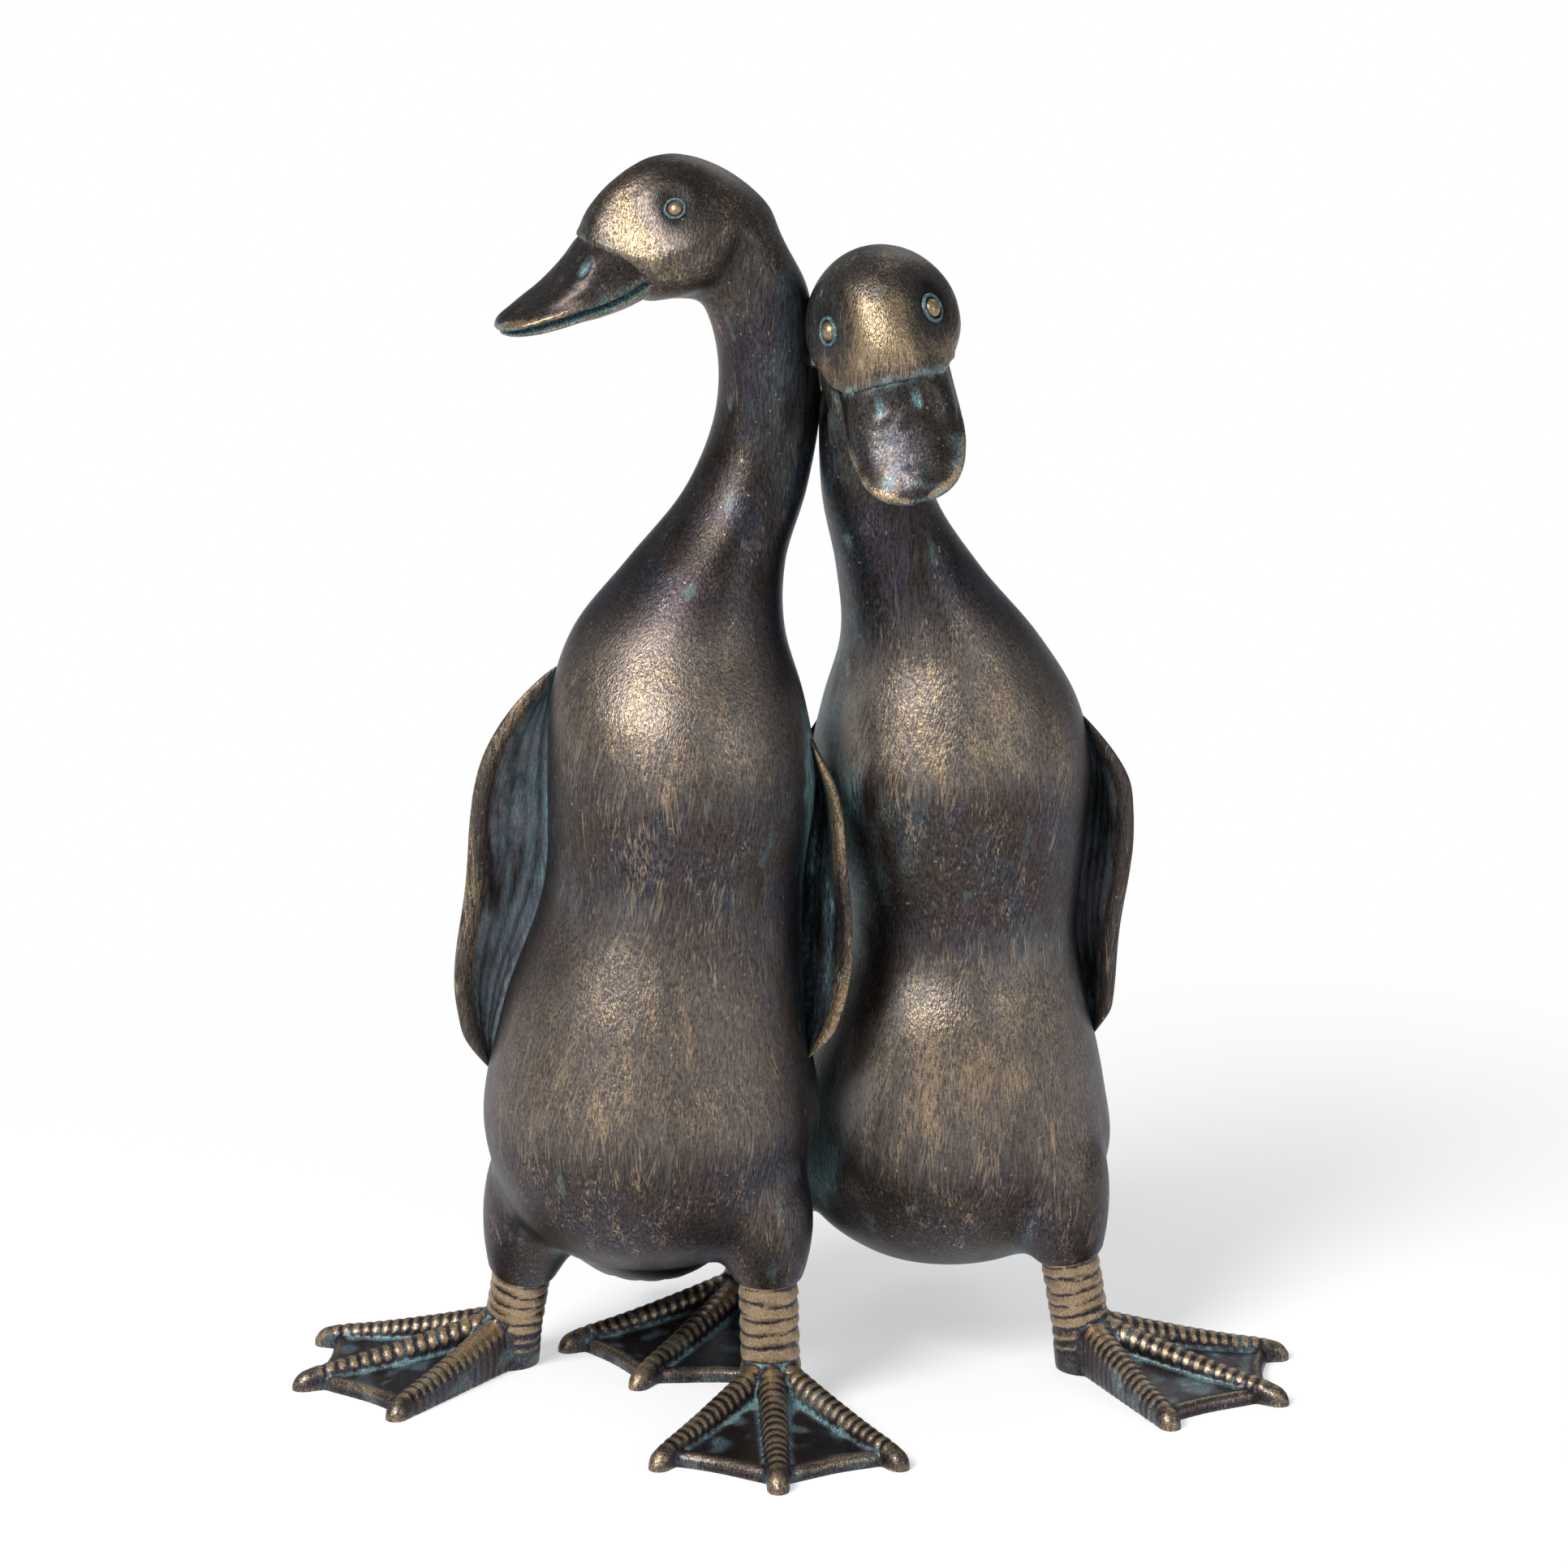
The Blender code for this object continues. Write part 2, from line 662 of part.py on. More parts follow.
def build_duck(duck):
    name = duck["name"]
    trunk = body(duck)
    skull = head(duck)
    paint(neck_dowel(f"{name}_neck_dowel", duck), DOWEL)
    for side in ("left", "right"):
        flap = wing(duck, side)
        low = duck["sections"][0][0] * MM
        high = neck_joint(duck)
        cutters = [body_loft("grown", duck, low, high, JOINT_GAP)]
        cutters += [wing_pin("hole", duck, side, t, JOINT_GAP) for t in WING_PIN_PLACES]
        paint(cut(flap, cutters), RESIN)
        for number, t in enumerate(WING_PIN_PLACES, 1):
            paint(wing_pin(f"{name}_{side}_wing_pin_{number}", duck, side, t), STEEL)
        paint(leg(duck, side), HORN)
        paint(leg_rod(f"{name}_{side}_leg_rod", duck, side), STEEL)
        paint(ball(f"{name}_{side}_eye", eye_centre(duck, side), EYE_DIAMETER), EYE)
    return trunk, skull


def centre_on_origin():
    """Stand the whole statue with the middle of its box over the origin."""
    bpy.context.view_layer.update()
    corners = np.array([thing.matrix_world @ Vector(c) for thing in bpy.data.objects for c in thing.bound_box])
    middle = (corners.min(axis=0) + corners.max(axis=0)) / 2
    for thing in bpy.data.objects:
        thing.location -= Vector((middle[0], middle[1], 0.0))


def main():
    clear_scene()
    tall_body, tall_head = build_duck(TALL)
    short_body, short_head = build_duck(SHORT)
    for thing in (short_body, short_head):
        cut(thing, [body_solid("grown", TALL, JOINT_GAP), head_solid("grown", TALL, JOINT_GAP)])
    for thing in (tall_body, short_body, short_head):
        cut(thing, tie_holes())
    paint(rod("belly_tie", *belly_tie_ends(0.0), TIE_DIAMETER), STEEL)
    paint(rod("head_tie", *head_tie_ends(0.0), TIE_DIAMETER), STEEL)
    for thing in (tall_body, tall_head, short_body, short_head):
        paint(thing, RESIN)
    centre_on_origin()


main()
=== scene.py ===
"""Looks of the pair of ducks: cast skins, bills, eyes, wings and feet in a dry-brushed bronze paint, with
highlights and shade painted into it.
"""
import math

import bpy
import numpy as np
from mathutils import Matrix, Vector, noise
from mathutils.bvhtree import BVHTree

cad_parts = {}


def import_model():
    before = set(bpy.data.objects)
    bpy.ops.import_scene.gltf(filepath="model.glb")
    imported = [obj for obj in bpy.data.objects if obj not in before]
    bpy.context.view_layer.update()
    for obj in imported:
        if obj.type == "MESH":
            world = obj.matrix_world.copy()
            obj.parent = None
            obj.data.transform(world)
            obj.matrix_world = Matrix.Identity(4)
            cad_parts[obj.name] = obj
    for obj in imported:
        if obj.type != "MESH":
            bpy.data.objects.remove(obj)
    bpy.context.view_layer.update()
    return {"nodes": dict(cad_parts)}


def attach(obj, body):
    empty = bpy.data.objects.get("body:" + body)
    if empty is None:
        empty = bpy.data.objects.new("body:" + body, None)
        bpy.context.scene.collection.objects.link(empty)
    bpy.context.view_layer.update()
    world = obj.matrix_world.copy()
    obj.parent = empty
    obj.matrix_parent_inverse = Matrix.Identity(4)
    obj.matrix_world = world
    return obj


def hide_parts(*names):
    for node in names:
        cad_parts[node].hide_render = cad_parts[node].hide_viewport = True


MM = 0.001
# Place of the ducks' own origin in the frame, millimetres
SHIFT = np.array((2.05, 9.65, 0))

# Camera: place and clipping in metres, lens and sensor in millimetres
CAMERA_PLACE = (-0.0035, -1.9267, 0.7108)
CAMERA_PITCH = math.radians(75.5)
LENS = 134.16
SENSOR = 36
CLIP = (0.05, 50)

# Mesh sizes, millimetres, and how many rows and points round each form is drawn with
SKIN_VOXEL = 1.28
LEG_VOXEL = 0.75
TORSO_GRID = (120, 72)
TAIL_GRID = (36, 48)
THIGH_GRID = (30, 40)
SKULL_GRID = (60, 72)
BILL_GRID = (64, 72)
WING_GRID = (84, 46)
TOE_GRID = (240, 40)
SHANK_GRID = (150, 64)
EYE_GRID = (34, 48)
FINE_ROWS = 240

# Ducks, in millimetres and degrees, within about 5 mm of the part. Their rows hold:
# sections: height, X, Y, half width, front, back
# head_turn: yaw, nod, roll
# eye: forward, up, size
# face_edge: forward and up, along the line where the face meets the bill
# nostril: forward, to the side
# tail: X, Y, Z, half width, half height
# legs: sock, ankle, thigh root, heading
# wings: shoulder, tip, stand-off, rim, sweep
# wing_paint: gold on the rim, turquoise inside, pale wash inside
# polish_and_highlight_bands: height and spread of the polished bands, where highlights are painted in as
# well
TALL = {
    "name": "tall_duck",
    "facing": -10,
    "sections": (
        (48, -52, -24, 7, 7, 7),
        (55, -52, -24, 33, 33, 33),
        (70, -51.5, -24, 49, 48, 48),
        (96, -51, -24, 57.5, 56, 54),
        (137, -50, -23, 52, 51, 49),
        (182, -43, -21, 44, 44, 42),
        (222, -40, -21, 45.5, 48, 42),
        (246, -41.5, -19, 43, 44, 38),
        (268, -41, -14, 36, 35, 32),
        (290, -32, -9, 27, 27, 26),
        (315, -18, -3, 20.5, 21, 21),
        (345, -10.5, -1, 17.5, 18.5, 18.5),
        (372, -13, -4, 17.5, 19, 19),
        (384, -17, -5, 19, 20, 20),
        (395, -23, -6, 19.5, 20, 20),
        (405, -28, -6, 19, 19, 19),
        (413, -36, -6, 13, 13, 13),
    ),
    "head": (-41, -6, 404),
    "head_turn": (75, 0, 0),
    "eye": (5.2, 8.1, 0.92),
    "face_edge": ((11, -13), (22.5, -6.6), (33.5, -2.8)),
    "nostril": (35, 14),
    "tail": ((-53, -8, 78, 44, 32), (-54, 16, 48, 33, 22), (-55, 40, 29, 22, 12), (-55, 60, 18, 12, 4)),
    "legs": {
        "right": ((-97, -6, 36), (-101, 0, 12), (-72, -18, 96), -70),
        "left": ((-11, -47, 47), (-10, -47, 13), (-34, -34, 98), 2),
    },
    "wings": {"right": (247, 112, 26.5, 84, 58), "left": (230, 120, 18, 88, 52)},
    "wing_paint": {"right": (0.35, 0.75, 0.9), "left": (0.8, 0.6, 0.3)},
    "polish_and_highlight_bands": ((250, 27), (126, 42)),
}
SHORT = {
    "name": "short_duck",
    "facing": 0,
    "sections": (
        (34, 52, 22, 7, 7, 7),
        (41, 52, 22, 33, 33, 33),
        (55, 52, 22, 49, 48, 46),
        (76, 52, 22, 57, 55, 52),
        (98, 52.5, 22, 54, 54, 50),
        (128, 54, 21.5, 46.5, 50, 43),
        (153, 55.5, 20, 41, 41, 40),
        (192, 53, 19, 46.5, 47, 42),
        (214, 52, 18, 48.5, 50, 42),
        (236, 51.5, 16.5, 44, 44, 38),
        (258, 48, 14.5, 34.5, 35, 32),
        (285, 36.5, 8, 24.5, 25, 24),
        (312, 26, 0, 19, 20, 20),
        (338, 23.5, -6, 17.5, 18.5, 18.5),
        (360, 25, -9, 18, 19, 19),
        (376, 25, -11, 14, 16, 16),
    ),
    "head": (26.5, -19, 375),
    "head_turn": (0, 25, 13),
    "eye": (9.5, 5.6, 1.25),
    "face_edge": ((11, -13.5), (27, -8.2), (34, -2.8)),
    "nostril": (37, 6.4),
    "tail": ((53, 38, 68, 46, 32), (53, 62, 42, 36, 22), (53, 84, 26, 24, 12), (53, 102, 17, 13, 4)),
    "legs": {
        "right": ((-12, 36, 41), (-18, 41, 12), (22, 28, 86), -30),
        "left": ((94, -4, 41), (99, -3, 12), (74, 10, 90), 60),
    },
    "wings": {"right": (222, 114, 9, 96, 48), "left": (223, 112, 16, 88, 52)},
    "wing_paint": {"right": (0.2, 0.5, 0.5), "left": (0.06, 0.4, 0.35)},
    "polish_and_highlight_bands": ((235, 28), (114, 40)),
}
SIDES = {"left": 1, "right": -1}

# Head sections along the nose line: forward, centre height, half width, top, bottom
SKULL = (
    (-34, 0, 4, 4, 4),
    (-28, 0, 14, 10, 13),
    (-17, -1, 22.5, 19, 21),
    (-8, -2.5, 25.8, 24.5, 22.5),
    (0, -4.5, 25.6, 28.2, 21.5),
    (8, -6.5, 23.6, 29.5, 19),
    (16, -9.5, 20.6, 29, 15.5),
    (24, -12.5, 18.6, 26, 12),
    (30, -14, 17.2, 20.5, 9.5),
    (34, -14.5, 14.5, 11.7, 7),
)
CROWN_PINCH = ((-20, 0.14), (-8, 0.18), (6, 0.42), (20, 0.45), (33, 0.4))
CROWN_FLAT = ((-10, 1), (8, 0.6), (33, 0.6))

# Bill along the nose line: forward, mouth line, half width, crown above the line, keel below it
BILL = (
    (6, -10, 15.5, 12, 8),
    (12, -13.8, 17.8, 16.5, 8),
    (22.5, -20.4, 18.7, 22, 6),
    (32.5, -24.2, 19, 21.6, 5),
    (37, -25.4, 18.8, 16.8, 4.6),
    (46, -28.3, 17.6, 10.4, 4),
    (52, -30, 16, 7.6, 3.6),
    (56, -31.1, 13.8, 5.8, 3.2),
    (59.5, -32, 10, 4.4, 2.6),
    (61.8, -32.6, 4, 2.4, 1.6),
)
MOUTH_GAP = 2.2
LOWER_BILL_SHORTER = 1.6
LOWER_BILL_NARROWER = 0.9
LIP = 1
LIP_GROOVE = 0.25
NAIL_PLACE = 57.5
NAIL_SIZE = (4.2, 4.6)
NAIL_HEIGHT = 0.8
NOSTRIL_SIZE = (1.9, 1.2)
NOSTRIL_STAIN = (2.3, 1.5)
NOSTRIL_DEPTH = 1.1
NOSTRIL_RIM = 0.4
RIDGE_WIDTH = 3.6
RIDGE_HEIGHT = 0.8

# Rounding of the cast skin, kept away from the face, and of the nape; places are forward, left and up
FILL_STEPS = 130
FACE_CENTRE = (12, 0, 0)
FACE_KEPT = (36, 52)
NAPE = (-25, 0, 2)
NAPE_SPREAD = 15
NAPE_STEPS = 80

# Relief on the head
EYE_BOWL = 0.5
BROW = 0.4
CHEEK = 0.9
CHEEK_PLACE = (4, -9)
CHEEK_SPREAD = 9
BILL_EDGE = {"tall_duck": 0.35, "short_duck": 0.8}
FACE_STEP = 2.2
MOUTH_CORNER = 1.1
MOUTH_PLACE = (9, -12.2)
MOUTH_SLOPE = 0.62
MOUTH_HALF_LENGTH = 3
JAW_FOLD = ((6, -27), (-4, -22.5), (-12, -14), (-17, -4))
JAW_FOLD_DEPTH = 1.5
JAW_HALF_WIDTH = 32
OUT_OF_JAW = 40
EYE_PROBES = 12
EYE_SEAT_RADIUS = 4
EYE_PROUD = 0.3
EYE_FLANK = 9
OUT_OF_EYE = 20
EYE_SHADE = 10

# Tail
TAIL_GROOVES = 3
TAIL_GROOVE_DEPTH = 0.9

# Legs
THIGH_RADIUS = 11.5
THIGH_FLARE = 1.2
SHANK_RADIUS = 10.25
SHANK_RINGS = 7
TOE_SPREAD = 36
TOE_LENGTH = {"inner": 67, "middle": 76, "outer": 70}
TOE_RADIUS = (5, 3.6)
TOE_HEIGHT = (7.5, 7.2)
SCUTES = 15
SCUTE_HEIGHT = 0.85
ANKLE_HEIGHT = 15
WEB_EDGE = 5.5
WEB_SAG = 5
SOCK_OVERLAP = 5
RING_FLARE = 1.15

# Wings
WING_REAR_PROUD = 3.5
WING_ROOT_SWELL = 1.8
WING_ROOT_DEPTH = 1.8
WING_END_DEPTH = 1.5
WING_OVERHANG = (9, 2)
WING_THICKNESS = 3.4
VALLEY = 2.4
CUP_SHARE = 0.4
DROOP = 0.88
MIDDLE_DROOP = 1.5
RIM_THICKER = 2
MIDDLE_RIM_THICKER = 0.4
QUILLS = 5
SCALE_ROWS = 9
SCALES_ACROSS = 6

# Paint
BROWN = (0.035, 0.0265, 0.0225)
VIOLET = (0.041, 0.0280, 0.0455)
BLUE = (0.017, 0.0330, 0.0700)
BRONZE = (0.182, 0.152, 0.133)
WARM_BRONZE = (0.300, 0.225, 0.135)
TEAL = (0.055, 0.170, 0.205)
TEAL_PALE = (0.23, 0.46, 0.51)
GOLD_DEEP = (0.36, 0.220, 0.112)
GOLD_PALE = (0.57, 0.460, 0.310)
BLACK = (0, 0, 0)
WING_WASH = (0.42, 0.45, 0.53)
RUBBED = 0.2
GRAIN_DEPTH = 0.0004
GLOSS = (0.36, 0.46)
SPECULAR = 0.45
# Grain of the paint, millimetres; strokes are lean in degrees, size and share of the material's stretch
PIT_SIZE = 1.2
DUST_SIZE = 0.65
CRINKLE_SIZE = 2.4
BROAD_SIZE = 13
SOFT_SIZE = 24
BLOT_SIZE = 8
SPECK_SIZE = 1.5
THIN_STROKES = (4, 0.45, 0.5)
BOLD_STROKES = (-13, 0.65, 0.7)

# Hidden rods, pins and dowels: size, stretch, detail and roughness of the grain, two colours, gloss, metal
STEEL = (0.6, 0.05, 2, 0.5, (0.36, 0.36, 0.37), (0.60, 0.60, 0.60), (0.28, 0.42), 1)
BEECH = (1.2, 0.06, 4, 0.6, (0.36, 0.25, 0.14), (0.60, 0.46, 0.29), (0.55, 0.75), 0)

# Studio, metres and watts; lamps are place, target, size, power and colour
ROOM_COLOUR = (0.93, 0.96, 1, 1)
ROOM_LIGHT = 0.26
WHITE = (1, 1, 1, 1)
FLOOR_COLOUR = (0.52, 0.52, 0.53, 1)
FLOOR_LIFT = 0.52
FLOOR_HALF = 60
SHADOW_FADE = (0.20, 0.60)
LAMPS = {
    "key": ((-1.1, -1.5, 1.7), (0, 0, 0.2), 1, 66, (1, 0.985, 0.96)),
    "fill": ((1.6, -1.3, 1), (0, 0, 0.2), 1, 8, (0.95, 0.98, 1)),
    "rim": ((0.5, 1.6, 1.5), (0, 0, 0.25), 1.2, 5, (1, 1, 1)),
}


def smooth_rows(rows, count):
    """Rows resampled along a smooth curve through every row."""
    rows = np.array(rows, float)
    knots = np.concatenate(([0], np.cumsum(np.linalg.norm(np.diff(rows, axis=0), axis=1))))
    slopes = np.gradient(rows, knots, axis=0)
    where = np.linspace(0, knots[-1], count)
    span = np.clip(np.searchsorted(knots, where, side="right") - 1, 0, len(rows) - 2)
    length = (knots[span + 1] - knots[span])[:, None]
    t = (where - knots[span])[:, None] / length
    start = (2 * t**3 - 3 * t**2 + 1) * rows[span] + (t**3 - 2 * t**2 + t) * length * slopes[span]
    end = (3 * t**2 - 2 * t**3) * rows[span + 1] + (t**3 - t**2) * length * slopes[span + 1]
    return start + end


def blend(low, high, value):
    """0 below low, 1 above high, smooth between them."""
    t = np.clip((value - low) / (high - low), 0, 1)
    return t * t * (3 - 2 * t)


def bump_at(distance, width):
    return np.exp(-((distance / width) ** 2))


def vec(*numbers):
    return np.array(numbers, float)


def unit(v):
    return v / np.linalg.norm(v)


UP = vec(0, 0, 1)


def facing_axes(duck):
    turn = math.radians(duck["facing"])
    return vec(math.sin(turn), -math.cos(turn), 0), vec(math.cos(turn), math.sin(turn), 0)


def head_axes(duck):
    """Forward, left and up of a head, after its turn, nod and roll."""
    yaw, nod, roll = (math.radians(a) for a in duck["head_turn"])
    forward = vec(-math.sin(yaw), -math.cos(yaw), 0)
    left = vec(math.cos(yaw), -math.sin(yaw), 0)
    nodded = forward * math.cos(nod) - UP * math.sin(nod)
    lifted = UP * math.cos(nod) + forward * math.sin(nod)
    c, s = math.cos(roll), math.sin(roll)
    return [vec(a[0] * c - a[2] * s, a[1], a[0] * s + a[2] * c) for a in (nodded, left, lifted)]


def egg_rings(centres, across, up, width, top, bottom, sides, pinch=0, flat=1):
    """Rings with their own half width, height above and depth below; the top may be pinched or flat."""
    angle = math.tau * (np.arange(sides) + 0.5) / sides
    rise = np.sin(angle)
    height = np.where(rise > 0, top[:, None], bottom[:, None]) * rise
    pinch = np.broadcast_to(pinch, len(width))[:, None]
    power = np.where(rise > 0, np.broadcast_to(flat, len(width))[:, None], 1)
    reach = np.sign(np.cos(angle)) * np.abs(np.cos(angle)) ** power
    reach = width[:, None] * reach * (1 - pinch * np.maximum(rise, 0))
    return centres[:, None, :] + reach[..., None] * across + height[..., None] * up


def shell(rings):
    """Points and faces of a closed skin over rings, with a fan at each end."""
    rows, sides, _ = rings.shape
    points = np.concatenate((rings.reshape(-1, 3), rings[[0, -1]].mean(axis=1)))
    first, last = rows * sides, rows * sides + 1
    faces = []
    for k in range(sides):
        n = (k + 1) % sides
        faces.append((first, n, k))
        faces.append((last, (rows - 1) * sides + k, (rows - 1) * sides + n))
        for row in range(rows - 1):
            a = row * sides
            faces.append((a + k, a + n, a + n + sides, a + k + sides))
    return points, faces


def gather(shells):
    points = np.concatenate([p for p, _ in shells])
    faces = []
    start = 0
    for p, f in shells:
        faces += [tuple(i + start for i in face) for face in f]
        start += len(p)
    return points, faces


def add_object(name, data):
    """New object in the scene."""
    thing = bpy.data.objects.new(name, data)
    bpy.context.scene.collection.objects.link(thing)
    return thing


def make_mesh(name, points, faces):
    mesh = bpy.data.meshes.new(name)
    mesh.from_pydata(((points + SHIFT) * MM).tolist(), [], faces)
    mesh.validate()
    return mesh


def cast(name, shells, voxel):
    """One watertight mesh round several closed shells."""
    raw = make_mesh("raw", *gather(shells))
    temp = add_object("raw", raw)
    step = temp.modifiers.new("cast", "REMESH")
    step.mode = "VOXEL"
    step.voxel_size = voxel * MM
    bpy.context.view_layer.update()
    ready = temp.evaluated_get(bpy.context.evaluated_depsgraph_get())
    mesh = bpy.data.meshes.new_from_object(ready)
    mesh.name = name
    bpy.data.objects.remove(temp, do_unlink=True)
    bpy.data.meshes.remove(raw)
    return mesh


class Work:
    """Points and edges of a mesh, in the design's millimetres, with what smoothing and painting need."""

    def __init__(self, mesh):
        self.mesh = mesh
        flat = np.empty(len(mesh.vertices) * 3)
        mesh.vertices.foreach_get("co", flat)
        self.points = flat.reshape(-1, 3) / MM - SHIFT
        pairs = np.empty(len(mesh.edges) * 2, np.int32)
        mesh.edges.foreach_get("vertices", pairs)
        self.pairs = pairs.reshape(-1, 2)
        self.count = len(self.points)
        self.degree = np.maximum(np.bincount(pairs, minlength=self.count), 1)

    def write(self):
        self.mesh.vertices.foreach_set("co", ((self.points + SHIFT) * MM).ravel())
        self.mesh.update()

    def normals(self):
        self.write()
        flat = np.empty(self.count * 3, np.float32)
        self.mesh.vertex_normals.foreach_get("vector", flat)
        return flat.reshape(-1, 3).astype(float)

    def mean(self, values):
        """Each point's mean of its neighbours' values."""
        a, b = self.pairs[:, 0], self.pairs[:, 1]
        if values.ndim == 2:
            return np.stack([self.mean(column) for column in values.T], axis=1)
        total = np.bincount(a, values[b], self.count) + np.bincount(b, values[a], self.count)
        return total / self.degree

    def soften(self, values, steps, share=0.5):
        """Values moved a share of the way to their neighbours' mean, several times."""
        for _ in range(steps):
            values = values + share * (self.mean(values) - values)
        return values

    def relax(self, steps, weight=1):
        share = 0.5 * np.broadcast_to(weight, self.count)[:, None]
        self.points = self.soften(self.points, steps, share)

    def fill(self, steps, weight):
        """Round out creases without shrinking what bulges."""
        normals = self.normals()
        for k in range(steps):
            if k % 20 == 19:
                normals = self.normals()
            rise = np.einsum("ij,ij->i", self.mean(self.points) - self.points, normals)
            self.points += (0.6 * weight * np.maximum(rise, 0))[:, None] * normals

    def hollowness(self, steps):
        """How far each point lies below its smoothed surroundings, in millimetres."""
        smooth = self.soften(self.points, steps, 0.6)
        return np.einsum("ij,ij->i", smooth - self.points, self.normals())

    def keep(self, **layers):
        """Store named values on the points."""
        for name, values in layers.items():
            layer = self.mesh.attributes.new(name, "FLOAT", "POINT")
            layer.data.foreach_set("value", np.clip(values, -1, 1).astype(np.float32))

    def tree(self):
        self.mesh.calc_loop_triangles()
        flat = np.empty(len(self.mesh.loop_triangles) * 3, np.int32)
        self.mesh.loop_triangles.foreach_get("vertices", flat)
        return BVHTree.FromPolygons(self.points.tolist(), flat.reshape(-1, 3).tolist())

    def distance(self, tree, reach):
        """Distance of each point from another piece, no further than reach."""
        out = np.full(self.count, reach, float)
        for k, p in enumerate(self.points):
            found = tree.find_nearest(p, reach)[3]
            if found is not None:
                out[k] = found
        return out


def cloud(points, size, stretch=1, seed=0):
    """Soft noise from -1 to 1 at a size in millimetres, stretched in height."""
    scaled = points / vec(size, size, size * stretch) + seed
    return np.array([noise.noise(p) for p in scaled])


def torso_shell(duck):
    forward, left = facing_axes(duck)
    count, sides = TORSO_GRID
    rows = smooth_rows(duck["sections"], count)
    centres = np.stack((rows[:, 1], rows[:, 2], rows[:, 0]), axis=1)
    return shell(egg_rings(centres, left, forward, rows[:, 3], rows[:, 4], rows[:, 5], sides))


def tail_shell(duck):
    _, left = facing_axes(duck)
    count, sides = TAIL_GRID
    rows = smooth_rows(duck["tail"], count)
    path = rows[:, :3]
    along = np.gradient(path, axis=0)
    up = np.cross(left, along)
    up = (up / np.linalg.norm(up, axis=1, keepdims=True))[:, None, :]
    return shell(egg_rings(path, left, up, rows[:, 3], rows[:, 4], rows[:, 4], sides))


def leg_frame(duck, side):
    sock, ankle, root, heading = duck["legs"][side]
    sock, ankle, root = (np.array(p, float) for p in (sock, ankle, root))
    axis = unit(sock - ankle)
    across = unit(np.cross(axis, vec(0, 1, 0)))
    return sock, ankle, root, math.radians(heading), axis, across, np.cross(axis, across)


def thigh_shell(duck, side):
    sock, _, root, _, axis, across, up = leg_frame(duck, side)
    count, sides = THIGH_GRID
    t = np.linspace(0, 1, count)[:, None]
    straight = sock + axis * np.linalg.norm(root - sock) * t
    centres = straight + (sock + (root - sock) * t - straight) * t
    radius = THIGH_RADIUS * (1 + THIGH_FLARE * np.sin(t[:, 0] * math.pi / 2))
    return shell(egg_rings(centres, across, up, radius, radius, radius, sides))


def skull_shell(duck):
    forward, left, up = head_axes(duck)
    count, sides = SKULL_GRID
    rows = smooth_rows(SKULL, count)
    centres = vec(*duck["head"]) + rows[:, :1] * forward + rows[:, 1:2] * up
    pinch = np.interp(rows[:, 0], *zip(*CROWN_PINCH))
    flat = np.interp(rows[:, 0], *zip(*CROWN_FLAT))
    return shell(egg_rings(centres, left, up, rows[:, 2], rows[:, 3], rows[:, 4], sides, pinch, flat))


def in_head(duck, points):
    """Forward, left and up distances from the head's centre."""
    return (points - vec(*duck["head"])) @ np.stack(head_axes(duck), axis=1)


def from_head(duck, local):
    return vec(*duck["head"]) + local @ np.stack(head_axes(duck))


def make_skin(duck):
    """Torso, neck, thighs, tail and skull as one cast skin."""
    shells = [torso_shell(duck), tail_shell(duck), skull_shell(duck)]
    shells += [thigh_shell(duck, side) for side in SIDES]
    work = Work(cast(f"{duck['name']}_skin", shells, SKIN_VOXEL))
    work.relax(5)
    from_face = np.linalg.norm(work.points - from_head(duck, vec(*FACE_CENTRE)), axis=1)
    work.fill(FILL_STEPS, 0.06 + 0.94 * blend(*FACE_KEPT, from_face))
    from_nape = np.linalg.norm(work.points - from_head(duck, vec(*NAPE)), axis=1)
    work.relax(NAPE_STEPS, bump_at(from_nape, NAPE_SPREAD))
    work.relax(4)
    shape_face(duck, work)
    shape_tail(duck, work)
    work.relax(1)
    work.write()
    return work


def past_edge(duck, local):
    """Distance in front of and below the line where the face meets the bill."""
    places, heights = zip(*duck["face_edge"])
    slope = (heights[-1] - heights[0]) / (places[-1] - places[0])
    line = np.interp(local[:, 0], places, heights) - slope * np.clip(places[0] - local[:, 0], 0, None)
    return (line - local[:, 2]) / math.hypot(1, slope)


def off_eye(duck, local):
    """Distance from the eyes, seen from the side."""
    return np.hypot(local[:, 0] - duck["eye"][0], local[:, 2] - duck["eye"][1])


def off_jaw(local):
    """Distance from the fold behind the jaw, between cheek and neck."""
    fold = smooth_rows(JAW_FOLD, 24)
    gaps = ((local[:, None, ::2] - fold[None]) ** 2).sum(axis=2)
    return np.sqrt(gaps.min(axis=1)) + OUT_OF_JAW * (np.abs(local[:, 1]) > JAW_HALF_WIDTH)


